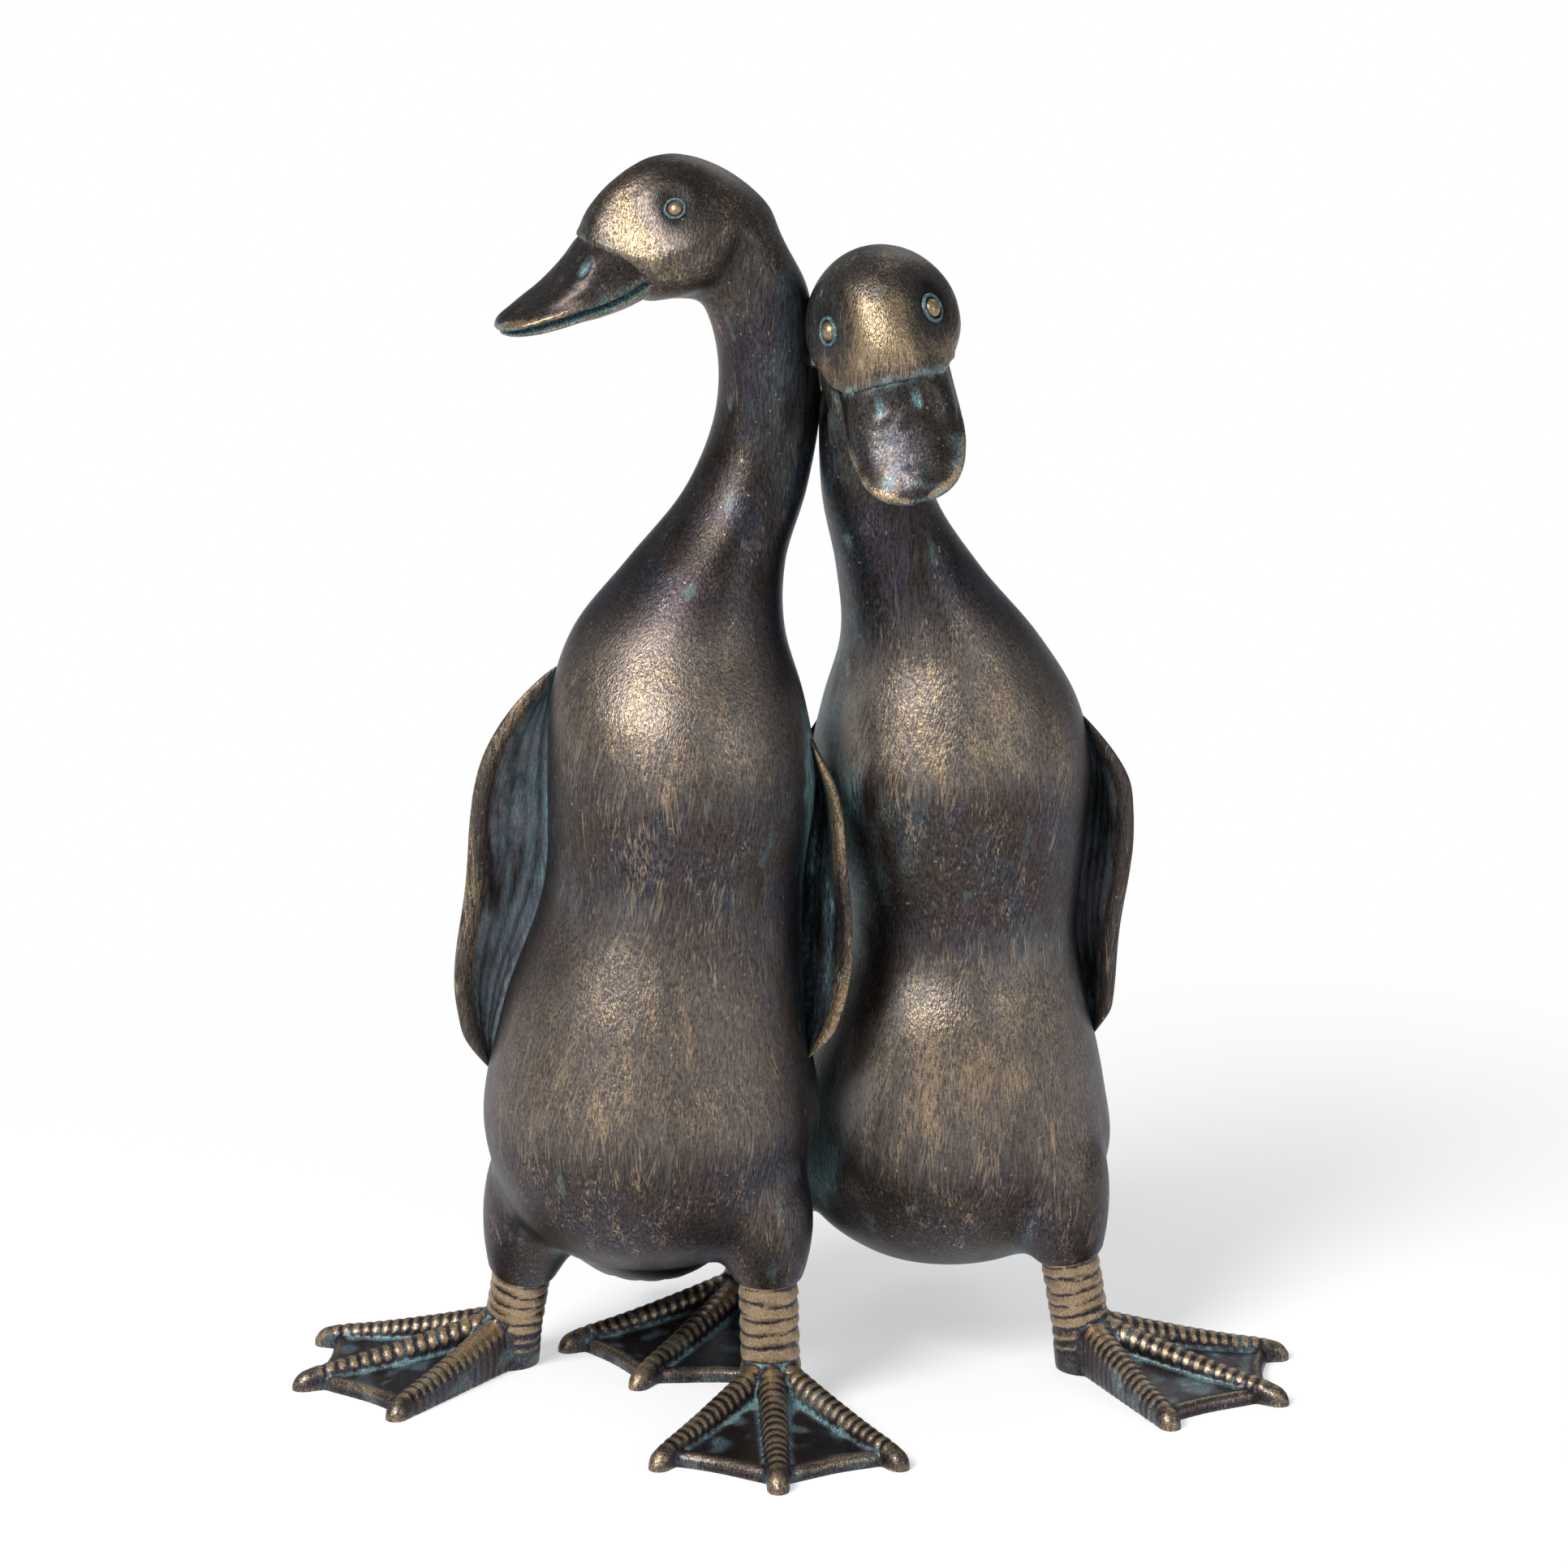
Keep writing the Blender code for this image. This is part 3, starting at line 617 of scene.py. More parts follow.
def shape_face(duck, work):
    """Cheeks, brows, shallow eye bowls, the raised edge round the bill and the corners of the mouth."""
    local = in_head(duck, work.points)
    normals = work.normals()
    x, side, height = local[:, 0], np.abs(local[:, 1]), local[:, 2]
    round_eye = off_eye(duck, local)
    flank = blend(8, 14, side) * blend(-30, -20, height)
    push = -EYE_BOWL * bump_at(round_eye, 5) * flank
    above = blend(0, 5, height - duck["eye"][1])
    push += BROW * bump_at(round_eye - 8.5, 2.6) * flank * above
    from_cheek = np.hypot(x - CHEEK_PLACE[0], (height - CHEEK_PLACE[1]) * 1.1)
    push += CHEEK * bump_at(from_cheek, CHEEK_SPREAD) * flank
    past = past_edge(duck, local)
    ahead = blend(8, 22, x) * blend(58, 48, np.linalg.norm(local, axis=1))
    rope = 1 + 0.5 * np.sin(1.9 * local[:, 1] + 0.8 * np.sin(0.9 * local[:, 1]))
    edge = BILL_EDGE[duck["name"]] * (rope if duck is SHORT else 1)
    push += edge * bump_at(past + 0.7, 1) * ahead
    push -= FACE_STEP * blend(-0.2, 1.8, past) * ahead
    ahead_of = x - MOUTH_PLACE[0]
    below = height - MOUTH_PLACE[1] + MOUTH_SLOPE * ahead_of
    corner = np.hypot(np.clip(np.abs(ahead_of) - MOUTH_HALF_LENGTH, 0, None), below)
    push -= MOUTH_CORNER * bump_at(corner, 1.5) * blend(10, 14, side)
    push -= JAW_FOLD_DEPTH * bump_at(off_jaw(local), 3.2)
    work.points += push[:, None] * normals


def shape_tail(duck, work):
    """Long feather grooves towards the tip of the tail."""
    _, left = facing_axes(duck)
    path = smooth_rows(duck["tail"], 60)
    gaps = ((work.points[:, None, 1:3] - path[None, ::6, 1:3]) ** 2).sum(axis=2)
    nearest = path[::6][gaps.argmin(axis=1)]
    offset = (work.points - nearest[:, :3]) @ left / nearest[:, 3]
    start = duck["tail"][1][1] - 4
    amount = blend(start, start + 16, work.points[:, 1]) * (np.abs(offset) < 1.15)
    grooves = np.abs(np.sin(offset * TAIL_GROOVES * math.pi)) ** 0.5 - 0.75
    work.points += (TAIL_GROOVE_DEPTH * amount * grooves)[:, None] * work.normals()


def lathe(profile, turns):
    """Closed shape turned about Z from (radius, height) rows; the first and last rows lie on the axis."""
    angle = math.tau * np.arange(turns) / turns
    rings = np.array([[(r * math.cos(a), r * math.sin(a), h) for a in angle] for r, h in profile[1:-1]])
    points, faces = shell(rings)
    points[-2] = (0, 0, profile[0][1])
    points[-1] = (0, 0, profile[-1][1])
    return points, faces


# Half outline of an eye bead in its raised ring: radius, height
EYE_PROFILE = (
    (0, 1.7), (1, 1.55), (1.8, 1.15), (2.4, 0.5), (2.65, 0), (2.78, -0.3), (2.95, -0.3), (3.1, 0.1),
    (3.3, 0.5), (3.6, 0.65), (3.9, 0.5), (4.1, 0.05), (4.25, -0.7), (4.25, -2.4), (0, -2.4),
)


def make_eye(duck, side, tree):
    """Bead in a raised ring, set on the skin."""
    _, left, up = head_axes(duck)
    place_forward, place_up, size = duck["eye"]
    turns = math.tau * np.arange(EYE_PROBES) / EYE_PROBES
    reach = EYE_SEAT_RADIUS * size
    starts = [vec(place_forward + reach * math.cos(a), 0, place_up + reach * math.sin(a)) for a in turns]
    look = Vector(left * SIDES[side])
    rim = np.array([tree.ray_cast(Vector(from_head(duck, start)), look)[0] for start in starts])
    place = rim.mean(axis=0)
    out = np.cross(rim - place, np.roll(rim, -1, axis=0) - place).sum(axis=0)
    out = unit(out * np.sign(out @ left) * SIDES[side])
    place = place + EYE_PROUD * out
    across = unit(np.cross(up, out))
    rise = np.cross(out, across)
    count, around = EYE_GRID
    profile = smooth_rows(EYE_PROFILE[:-2], count).tolist() + list(EYE_PROFILE[-2:])
    points, faces = lathe(profile, around)
    radius = np.hypot(points[:, 0], points[:, 1])
    height = points[:, 2]
    points = place + size * points @ np.stack((across, rise, out))
    work = Work(make_mesh(f"{duck['name']}_{side}_eyeball", points, faces))
    bead = 1 - blend(2.6, 2.8, radius)
    ring = blend(2.9, 3.2, radius) * blend(-0.6, 0.1, height)
    work.keep(gold=1.2 * bead, teal=0.75 * ring, cool=ring, sheen=0.4 * bead)
    return work


def bill_rows(lower, count):
    """Bill sections from the root to the tip, crowded towards the tip."""
    steps = 200
    rows = smooth_rows(BILL, steps)
    where = np.linspace(0, 1, count) ** 0.85 * (steps - 1)
    rows = np.stack([np.interp(where, np.arange(steps), column) for column in rows.T], axis=1)
    if lower:
        rows[:, 0] -= LOWER_BILL_SHORTER
        rows[:, 2] = np.maximum(rows[:, 2] - LOWER_BILL_NARROWER, 1.5)
    return rows


def off_nostril(duck, forward, side, size):
    """Distance from the nearer nostril, in shares of an oval's half length and half width."""
    place = duck["nostril"]
    return np.hypot((forward - place[0]) / size[0], (np.abs(side) - place[1]) / size[1])


def make_bill(duck, lower):
    """One half of the bill: rolled lips, nail and nostrils above, a shallow keel below."""
    count, sides = BILL_GRID
    rows = bill_rows(lower, count)
    angle = math.tau * np.arange(sides) / sides
    c, s = np.cos(angle), np.sin(angle)
    rings = np.zeros((len(rows), sides, 3))
    lift = np.zeros((len(rows), sides))
    for k, (x, line, half, crown, keel) in enumerate(rows):
        power = 2 / np.interp(x, (20, 50, 62), (2.25, 2.1, 2))
        across = half * np.sign(c) * np.abs(c) ** power
        gap = MOUTH_GAP / 2 * np.interp(x, (8, 20, 50, 62), (0.6, 1, 1, 0.5))
        if lower:
            lining = (2 * gap + 0.3) * blend(0.4, 1.1, half - np.abs(across))
            rise = np.where(s > 0, lining, -(keel - gap) * np.abs(s) ** power) - gap
        else:
            rise = np.where(s > 0, (crown - gap) * np.abs(s) ** power, -0.4 * np.abs(s)) + gap
        lip = bump_at(rise + gap + 0.8, 0.9) if lower else bump_at(rise - gap - 1.1, 1.2)
        groove = 0 if lower else bump_at(rise - gap - 3.9, 1.3)
        across = across + (LIP * lip - LIP_GROOVE * groove) * np.sign(c) * blend(0.2, 0.8, np.abs(c))
        if not lower:
            top = s > 0
            nail = np.exp(-(((x - NAIL_PLACE) / NAIL_SIZE[0]) ** 4) - (across / NAIL_SIZE[1]) ** 4) * top
            hole = off_nostril(duck, x, across, NOSTRIL_SIZE)
            lift[k] = NAIL_HEIGHT * nail - NOSTRIL_DEPTH * np.exp(-(hole**4)) * top
            lift[k] += NOSTRIL_RIM * bump_at(hole - 1.7, 0.45) * top
            lumps = 0.6 + 0.5 * math.sin(x * 1.1) * np.cos(across * 0.7)
            lift[k] += RIDGE_HEIGHT * bump_at(across, RIDGE_WIDTH) * lumps * blend(50, 38, x) * top
        rings[k] = np.stack((np.full(sides, x), across, line + rise + lift[k]), axis=1)
    points, faces = shell(rings)
    name = f"{duck['name']}_{'lower' if lower else 'upper'}_bill"
    work = Work(make_mesh(name, from_head(duck, points), faces))
    forward, side, height = points.T
    line = np.interp(forward, rows[:, 0], rows[:, 1])
    half = np.interp(forward, rows[:, 0], rows[:, 2])
    rim = bump_at(np.abs(height - line) - 2.2, 1.3) * blend(0.6, 0.9, np.abs(side) / half)
    tip = blend(53, 60, forward)
    mouth = 1 - blend(0, 0.45, np.abs(height - line) - MOUTH_GAP / 2 - (0 if lower else 0.1))
    hole = off_nostril(duck, forward, side, NOSTRIL_STAIN)
    spots = cloud(work.points, 7, 1, 3)
    chips = blend(-0.2, 0.25, cloud(work.points, 4, 1, 8))
    gold = 0.12 + 0.8 * rim + 0.3 * tip * (rim + 0.3) + 0.25 * spots - 0.3 * mouth
    seam = bump_at(past_edge(duck, points), 1.3) * blend(9, 12, forward) * (0.15 + 0.95 * chips)
    low = blend(10, 2, height - line) if not lower else np.ones_like(height)
    damp = 0.8 if duck is SHORT else 0.35
    stains = blend(0.1, 0.5, spots) * low + 1.2 * seam
    teal = 0.75 * mouth + damp * stains + np.exp(-(hole**4)) * (not lower)
    work.keep(gold=gold, teal=teal, cool=0.1 + 0.3 * spots, sheen=(0.05 + 0.35 * rim) * (1 - mouth))
    return work


def side_points(duck, height, angle, proud):
    """Points outside the body at heights and angles from the front towards the duck's left."""
    forward, left = facing_axes(duck)
    rows = smooth_rows(duck["sections"], FINE_ROWS)
    x, y, half, front, back = (np.interp(height, rows[:, 0], rows[:, k]) for k in range(1, 6))
    depth = np.where(np.cos(angle) > 0, front, back)
    reach = 1 / np.hypot(np.sin(angle) / half, np.cos(angle) / depth) + proud
    out = np.cos(angle)[..., None] * forward + np.sin(angle)[..., None] * left
    return np.stack((x, y, height), axis=-1) + out * reach[..., None]


def is_middle_wing(duck, side):
    """The wing between the two ducks is darker inside, with a brighter rim."""
    return duck is TALL and side == "left"


def make_wing(duck, side):
    """Wing flap: rear edge on the body, thick rounded rim, cupped inside, feathers outside."""
    shoulder, tip, stand_off, rim, sweep = duck["wings"][side]
    rows, columns = WING_GRID
    t = np.linspace(0, 1, rows)[:, None]
    s = np.linspace(0, 1, columns)[None, :]
    start = shoulder + WING_OVERHANG[0]
    end = tip + WING_OVERHANG[1]
    height = start + (end - start) * t + 0 * s
    middle_wing = is_middle_wing(duck, side)
    droop = MIDDLE_DROOP if middle_wing else DROOP
    bulge = np.maximum(np.sin(math.pi * t**droop), 0) ** 0.8
    belly = np.maximum(np.sin(math.pi * t), 0) ** 0.75
    spread = sweep * (0.12 + 0.88 * belly) * (1 - s)
    angle = np.radians(rim + spread) * SIDES[side]
    cup_angle = np.radians(rim + CUP_SHARE * spread) * SIDES[side]
    seat = (WING_REAR_PROUD + WING_END_DEPTH) * blend(0, 0.25, t) * blend(1.02, 0.9, t) - WING_END_DEPTH
    seat = seat + WING_ROOT_SWELL * belly * (1 - s) ** 2
    proud = seat + (stand_off - WING_REAR_PROUD) * bulge * s**1.6
    feathers, seams = feather_relief(t, s)
    rise = 1.3 * bump_at(1 - s, 0.09) * bulge
    thicker = MIDDLE_RIM_THICKER if middle_wing else RIM_THICKER
    thick = WING_THICKNESS + thicker * bump_at(1 - s, 0.2)
    streaks = 0.2 * np.sin(s * 34 + 2 * np.sin(t * 5)) * blend(0, 0.2, 1 - s) * bulge
    outer = side_points(duck, height, angle, proud + feathers * bulge + 0.4 * rise)
    cup = VALLEY * np.log1p(np.exp((proud - thick) / VALLEY)) - 0.3
    join = blend(0, 0.35, s)
    hollow = (np.minimum(cup, proud - 0.8) + WING_ROOT_DEPTH) * join - WING_ROOT_DEPTH
    inner = side_points(duck, height, cup_angle, hollow + streaks)
    turn = np.linspace(0, math.pi, 9)[1:-1]
    middle = (outer[:, -1] + inner[:, -1]) / 2
    spoke = (outer[:, -1] - inner[:, -1]) / 2
    along = outer[:, -1] - outer[:, -3]
    along /= np.linalg.norm(along, axis=1, keepdims=True)
    size = np.linalg.norm(spoke, axis=1, keepdims=True)
    nose = [middle + spoke * math.cos(a) + along * size * math.sin(a) for a in turn]
    root = side_points(duck, height[:, :1], angle[:, :1], np.full((rows, 1), -WING_ROOT_DEPTH))
    rings = np.concatenate((outer, np.stack(nose, axis=1), inner[:, ::-1], root), axis=1)
    points, faces = shell(rings)
    work = Work(make_mesh(f"{duck['name']}_{side}_flap", points, faces))
    work.relax(1)
    work.write()
    back = columns + len(turn)
    inside, edge, seam = np.zeros((3, *rings.shape[:2]))
    inside[:, back:-1] = 1
    edge[:, :columns] = bump_at(1 - s, 0.06)
    edge[:, columns:back] = 1
    edge[:, back:-1] = bump_at(1 - s, 0.04)[:, ::-1]
    seam[:, :columns] = seams
    inside, edge, seam = (np.append(a.ravel(), (0, 0)) for a in (inside, edge, seam))
    spots = cloud(work.points, 9, 3, 5)
    fine = cloud(work.points, 2.6, 7, 9)
    gilt, wet, pale = duck["wing_paint"][side]
    gold = 0.15 + gilt * edge * (0.8 + 1.2 * spots) + 0.2 * spots - 0.05 * inside - 0.2 * seam
    open_face = inside * (1 - 0.8 * edge)
    teal = open_face * wet * (0.6 + 0.8 * spots + 0.8 * fine) + 0.5 * seam
    cool = 0.2 * spots - 0.5 * (1 - inside) + open_face * pale * (0.85 + 0.6 * fine - 0.4 * spots)
    work.keep(gold=gold, teal=teal, cool=cool, sheen=0.4 * gilt * edge)
    return work


def feather_relief(t, s):
    """Height of the feathers on the outer face, and where their seams lie."""
    quills = np.abs(np.sin(math.pi * (s * QUILLS + 0.35 * (1 - t)))) ** 0.5
    row = t * SCALE_ROWS
    shift = 0.5 * (np.floor(row) % 2)
    fan = s * SCALES_ACROSS + shift
    scale = np.hypot((fan - np.floor(fan) - 0.5) * 1.5, row - np.floor(row) - 0.15)
    scales = np.clip(scale / 0.9, 0, 1)
    upper = blend(0.52, 0.44, t)
    relief = upper * (0.9 * (1 - scales**3) - 0.5) + (1 - upper) * (quills - 0.6)
    seams = upper * blend(0.8, 1, scales) + (1 - upper) * blend(0.45, 0.1, quills)
    fade = blend(0, 0.08, s) * blend(1, 0.86, s) * blend(0, 0.06, t) * blend(1, 0.92, t)
    return relief * fade, seams * fade


def foot_direction(heading):
    return vec(math.sin(heading), -math.cos(heading), 0)


def toe_angles(side):
    spread = math.radians(TOE_SPREAD) * SIDES[side]
    return {"inner": -spread, "middle": 0, "outer": spread}


def crest(t):
    """Height of a toe's top line above the ground."""
    return ANKLE_HEIGHT * np.clip(1 - t, 0, 1) ** 1.3 + TOE_HEIGHT[0] * (1 - t) + TOE_HEIGHT[1] * t


def toe_shell(heel, direction, length):
    """Toe with raised scutes and a blunt claw, standing on the ground."""
    across = np.cross(direction, UP)
    count, sides = TOE_GRID
    t = np.linspace(0, 1.05, count)
    bead = np.abs(np.sin(math.pi * SCUTES * np.clip((t - 0.1) / 0.8, 0, 1))) ** 0.55
    claw = blend(0.9, 0.915, t)
    half = TOE_RADIUS[0] + (TOE_RADIUS[1] - TOE_RADIUS[0]) * t
    round_off = np.sqrt(np.clip(1 - (np.clip(t - 0.985, 0, None) / 0.066) ** 2, 0, 1))
    scute = (1 - claw) * (bead - 0.6) + claw * (0.15 - 0.9 * bump_at(t - 0.905, 0.008))
    half = (half + 0.75 * scute) * np.maximum(round_off, 0.15)
    top = crest(t) + SCUTE_HEIGHT * scute - claw * 14 * (t - 0.92)
    top = np.maximum(top, 2) * np.maximum(round_off, 0.45)
    centres = heel + direction * (length * t)[:, None] + UP * (top - half)[:, None]
    angle = math.tau * (np.arange(sides) + 0.5) / sides
    c, s = np.cos(angle), np.sin(angle)
    drop = (top - half + 1.5)[:, None]
    reach = half[:, None] * np.sign(c) * np.abs(c) ** np.where(s > 0, 1, 0.45)
    height = np.where(s > 0, half[:, None] * s, drop * s)
    wider = np.where(s > 0, 0, 0.8 * np.abs(s)) * np.sign(c) * np.minimum(half[:, None] / 3, 1)
    return shell(centres[:, None, :] + (reach + wider)[..., None] * across + height[..., None] * UP)


def web_shell(heel, heading, side):
    """Skin between the toes with a thick scalloped front edge."""
    tips = sorted((a, TOE_LENGTH[n] * 0.94) for n, a in toe_angles(side).items())
    angles, reaches = [], []
    for (a, reach_a), (b, reach_b) in zip(tips, tips[1:]):
        f = np.linspace(0, 1, 15)[:-1]
        angles += list(a + (b - a) * f)
        reaches += list(reach_a + (reach_b - reach_a) * f - WEB_SAG * np.sin(math.pi * f))
    angles.append(tips[-1][0])
    reaches.append(tips[-1][1])
    t = np.linspace(0.06, 1, 40)
    tops = WEB_EDGE - 1.2 + (ANKLE_HEIGHT - WEB_EDGE) * (1 - t) ** 1.5 + 0.8 * bump_at(t - 0.965, 0.022)
    tops = tops * np.sqrt(np.clip(1 - (np.clip(t - 0.97, 0, None) / 0.045) ** 2, 0.3, 1))
    rings = []
    for angle, reach in zip(angles, reaches):
        direction = foot_direction(heading + angle)
        top = heel + direction * (reach * t)[:, None] + UP * tops[:, None]
        bottom = heel + direction * (reach * t[::-1])[:, None] - UP
        rings.append(np.concatenate((top, bottom)))
    return shell(np.array(rings))


def shank_shell(duck, side):
    """Shank with uneven overlapping rings, flared at the lower edge of each."""
    sock, ankle, _, _, axis, across, up = leg_frame(duck, side)
    top = sock + axis * SOCK_OVERLAP
    low = ankle - axis * (ankle[2] / axis[2] + 1)
    ringed = np.linalg.norm(sock - ankle) + 3
    total = np.linalg.norm(top - low)
    count, sides = SHANK_GRID
    down = np.linspace(0, total, count)
    angle = math.tau * (np.arange(sides) + 0.5) / sides
    level = (down[:, None] - SOCK_OVERLAP) / ringed * SHANK_RINGS
    ring = np.floor(level)
    level = level + 0.12 * np.sin(angle + 2 * ring) + 0.08 * np.sin(2 * angle + ring)
    part = level - np.floor(level)
    inside = blend(-0.2, 0, level) * blend(SHANK_RINGS + 0.3, SHANK_RINGS, level)
    flare = part**0.6 * blend(1, 0.86, part) - 0.75
    swell = 1 + 0.10 * blend(0.55, 1, down / total)[:, None]
    radius = SHANK_RADIUS * swell + RING_FLARE * flare * inside
    centres = top - axis * down[:, None]
    sideways = (radius * np.cos(angle))[..., None] * across
    return shell(centres[:, None, :] + sideways + (radius * np.sin(angle))[..., None] * up)


def make_leg(duck, side):
    """Ringed shank, scuted toes and web in one casting, flat underneath."""
    sock, ankle, _, heading, axis, _, _ = leg_frame(duck, side)
    heel = vec(ankle[0], ankle[1], 0)
    shells = [shank_shell(duck, side), web_shell(heel, heading, side)]
    for name, angle in toe_angles(side).items():
        shells.append(toe_shell(heel, foot_direction(heading + angle), TOE_LENGTH[name]))
    work = Work(cast(f"{duck['name']}_{side}_foot", shells, LEG_VOXEL))
    work.relax(1)
    work.points[:, 2] = np.maximum(work.points[:, 2], 0)
    work.write()
    fine = work.hollowness(8)
    broad = work.hollowness(60)
    spots = cloud(work.points, 8, 1, 1)
    up = (work.points - ankle) @ axis
    shank = blend(2, 8, up)
    raised = blend(0.02, 0.22, -fine)
    normals = work.normals()
    # Painted highlight: more gold, and with it sheen, on faces turned up, forward and to the left, towards
    # the key lamp
    front = blend(-0.2, 0.7, normals @ unit(vec(-0.35, -1, 0.6)))
    gold = raised * (0.5 + 0.35 * spots + 0.5 * front)
    gold += shank * (0.5 + 0.6 * front) * blend(0.10, -0.04, fine)
    sunk = blend(0.06, 0.30, fine)
    crease = blend(0.35, 1.1, broad) * (1 - raised)
    pools = blend(0.05, 0.45, spots) * (1 - raised) * (1 - shank)
    teal = crease * (0.6 + 0.6 * spots) + 0.35 * sunk + 0.6 * pools
    from_sock = np.abs(np.linalg.norm(sock - ankle) - up)
    teal += 0.5 * shank * blend(4, 0, from_sock) * blend(0, 0.4, spots)
    gold *= 0.5 + 0.5 * blend(5, 9, work.points[:, 2])
    work.keep(gold=gold, teal=teal, cool=0.55 + 0.4 * spots + 0.3 * sunk, sheen=0.1 + 0.9 * gold)
    return work


def paint_skin(duck, work, wings, others):
    """Where the gold is brushed on, where highlights and shade are painted in, and where the turquoise has
    settled.
    """
    forward, _ = facing_axes(duck)
    points = work.points
    normals = work.normals()
    local = in_head(duck, points)
    head = blend(46, 34, np.linalg.norm(local, axis=1))
    neck = blend(262, 290, points[:, 2]) * (1 - head)
    front = blend(0.05, 0.95, normals @ unit(forward + 0.15 * UP))
    # Gold on the lores, cheeks and the short duck's brow: gold paint with a painted highlight on it
    lores = bump_at(np.hypot(local[:, 0] - 19, 0.7 * (local[:, 2] - 3)), 9.5)
    cheek = bump_at(np.hypot(local[:, 0] - 6, local[:, 2] + 9), 11)
    face = np.clip(lores + 0.6 * cheek, 0, 1) * head
    if duck is SHORT:
        brow = bump_at(np.hypot(local[:, 0] - 25, 0.8 * (local[:, 2] - 12)), 13)
        face = np.clip(face + 0.9 * brow * head, 0, 1)
    patches = cloud(points, 22, 2.2, 2)
    small = cloud(points, 6, 2.5, 4)
    hollow = work.soften(work.hollowness(40), 4)
    ridge = blend(0.25, 1.2, -hollow)
    # Polished bands at given heights on chest and belly, where highlights are painted in as well
    swell = sum(bump_at(points[:, 2] - height, spread) for height, spread in duck["polish_and_highlight_bands"])
    # More gold on the front, most of it in those bands: dry-brushed gold, and partly a painted highlight
    breast = (0.14 * front + 0.33 * swell * front**1.5) * (1 - head)
    gold = 0.16 + breast + 0.7 * face + 0.2 * head
    gold += 0.12 * patches + 0.08 * small + 0.12 * ridge * (1 - head)
    gold *= 1 - 0.6 * neck
    rear = blend(0.1, 0.7, -(normals @ forward))
    crease = blend(0.25, 1.1, hollow) * (1 - 0.5 * head) * (1 - 0.7 * rear)
    fold = blend(-0.35, 0.35, work.hollowness(170)) * (1 - head) * (1 - neck)
    near_wing = blend(13, 1.5, np.minimum.reduce([work.distance(tree, 14) for tree in wings]))
    gaps = [work.distance(tree, 35) for tree in others]
    low = (1 - 0.8 * neck) * (1 - 0.8 * head)
    near_other = blend(34, 10, np.minimum.reduce(gaps)) * low
    touching = blend(20, 5, gaps[0]) * low
    past = past_edge(duck, local)
    chips = blend(-0.2, 0.25, cloud(points, 4, 1, 8))
    near_bill = bump_at(past + 0.6, 1.9) * blend(9, 12, local[:, 0]) * (0.35 + 0.9 * chips) * head
    near_bill *= 1.6 if duck is SHORT else 0.4
    side = 1 - front
    teal = crease * (0.55 + 0.6 * patches) + near_wing * (0.55 + 0.5 * patches) * (0.35 + 0.65 * side)
    teal += near_other * (0.5 + 1.2 * patches + 0.6 * small) + touching * (0.6 + 0.5 * small)
    teal += near_bill + fold * (0.25 + 0.9 * small + 0.9 * patches)
    round_eye = off_eye(duck, local)
    round_eye += OUT_OF_EYE * (np.abs(local[:, 1]) < EYE_FLANK)
    eye_shade = bump_at(round_eye, EYE_SHADE)
    teal += 0.08 * bump_at(round_eye - 5.5, 1.4) * head
    # Less gold, falling to black in the material: darker round the eyes, and painted shade in the fold
    # behind the jaw, beside the wings, towards the other duck, in creases and folds and on the sides
    gold -= 1.2 * eye_shade * head + 0.4 * bump_at(off_jaw(local), 5)
    gold -= 0.5 * near_wing * side + 0.12 * near_other + 0.3 * crease + 0.15 * fold
    gold -= 0.2 * side * (1 - head)
    # Painted highlight: sheen on front surfaces turned upwards, strongest in the polished bands, and on the
    # face
    lifted = blend(-0.24, 0.28, normals[:, 2]) * front * (1 - neck) * (1 - head)
    painted_highlight = lifted * (0.25 + 1.2 * swell) + 0.12 * front * (1 - neck) + 0.75 * face + 0.1 * head
    cool = 0.1 + 0.45 * side * (1 - head) + 0.6 * patches * (1 - head) + 0.5 * fold - 0.5 * head
    sheen = painted_highlight * (0.9 + 0.4 * patches) * (1 - eye_shade)
    work.keep(gold=gold, teal=teal, cool=cool, sheen=sheen)


def is_socket(value):
    return isinstance(value, bpy.types.NodeSocket)


def feed(node, **inputs):
    """Links or constants for a node's sockets, given by name, or by i and a number."""
    for key, value in inputs.items():
        number = key[1:]
        socket = node.inputs[int(number) if number.isdigit() else key.replace("_", " ")]
        if is_socket(value):
            node.id_data.links.new(value, socket)
        else:
            socket.default_value = value


def new_node(kind, settings=None, **inputs):
    """Shader node in the same tree as the sockets that feed it."""
    tree = next(value.id_data for value in inputs.values() if is_socket(value))
    node = tree.nodes.new("ShaderNode" + kind)
    for key, value in (settings or {}).items():
        setattr(node, key, value)
    feed(node, **inputs)
    return node


def put(kind, settings=None, **inputs):
    """First output of a new shader node."""
    return new_node(kind, settings, **inputs).outputs[0]


def maths(operation, a, b):
    """Result of a sum, held between 0 and 1."""
    return put("Math", {"operation": operation, "use_clamp": True}, i0=a, i1=b)


def mix(factor, a, b):
    """Colour between a and b."""
    a, b = ((*colour, 1) if isinstance(colour, tuple) else colour for colour in (a, b))
    return new_node("Mix", {"data_type": "RGBA"}, i0=factor, i6=a, i7=b).outputs[2]


def window(value, low, high, out_low=0, out_high=1):
    """Value carried from between low and high to between out_low and out_high."""
    ends = {"From_Min": low, "From_Max": high, "To_Min": out_low, "To_Max": out_high}
    return put("MapRange", Value=value, **ends)


def grain(place, size, detail=2, rough=0.5, swirl=0):
    """Noise with features of about the given size in millimetres."""
    numbers = {"Scale": 1000 / size, "Detail": detail, "Roughness": rough, "Distortion": swirl}
    return put("TexNoise", Vector=place, **numbers)


def stretched(place, share):
    """Places squeezed in height, which draws a pattern out along it."""
    return put("Mapping", Vector=place, Scale=(1, 1, share))


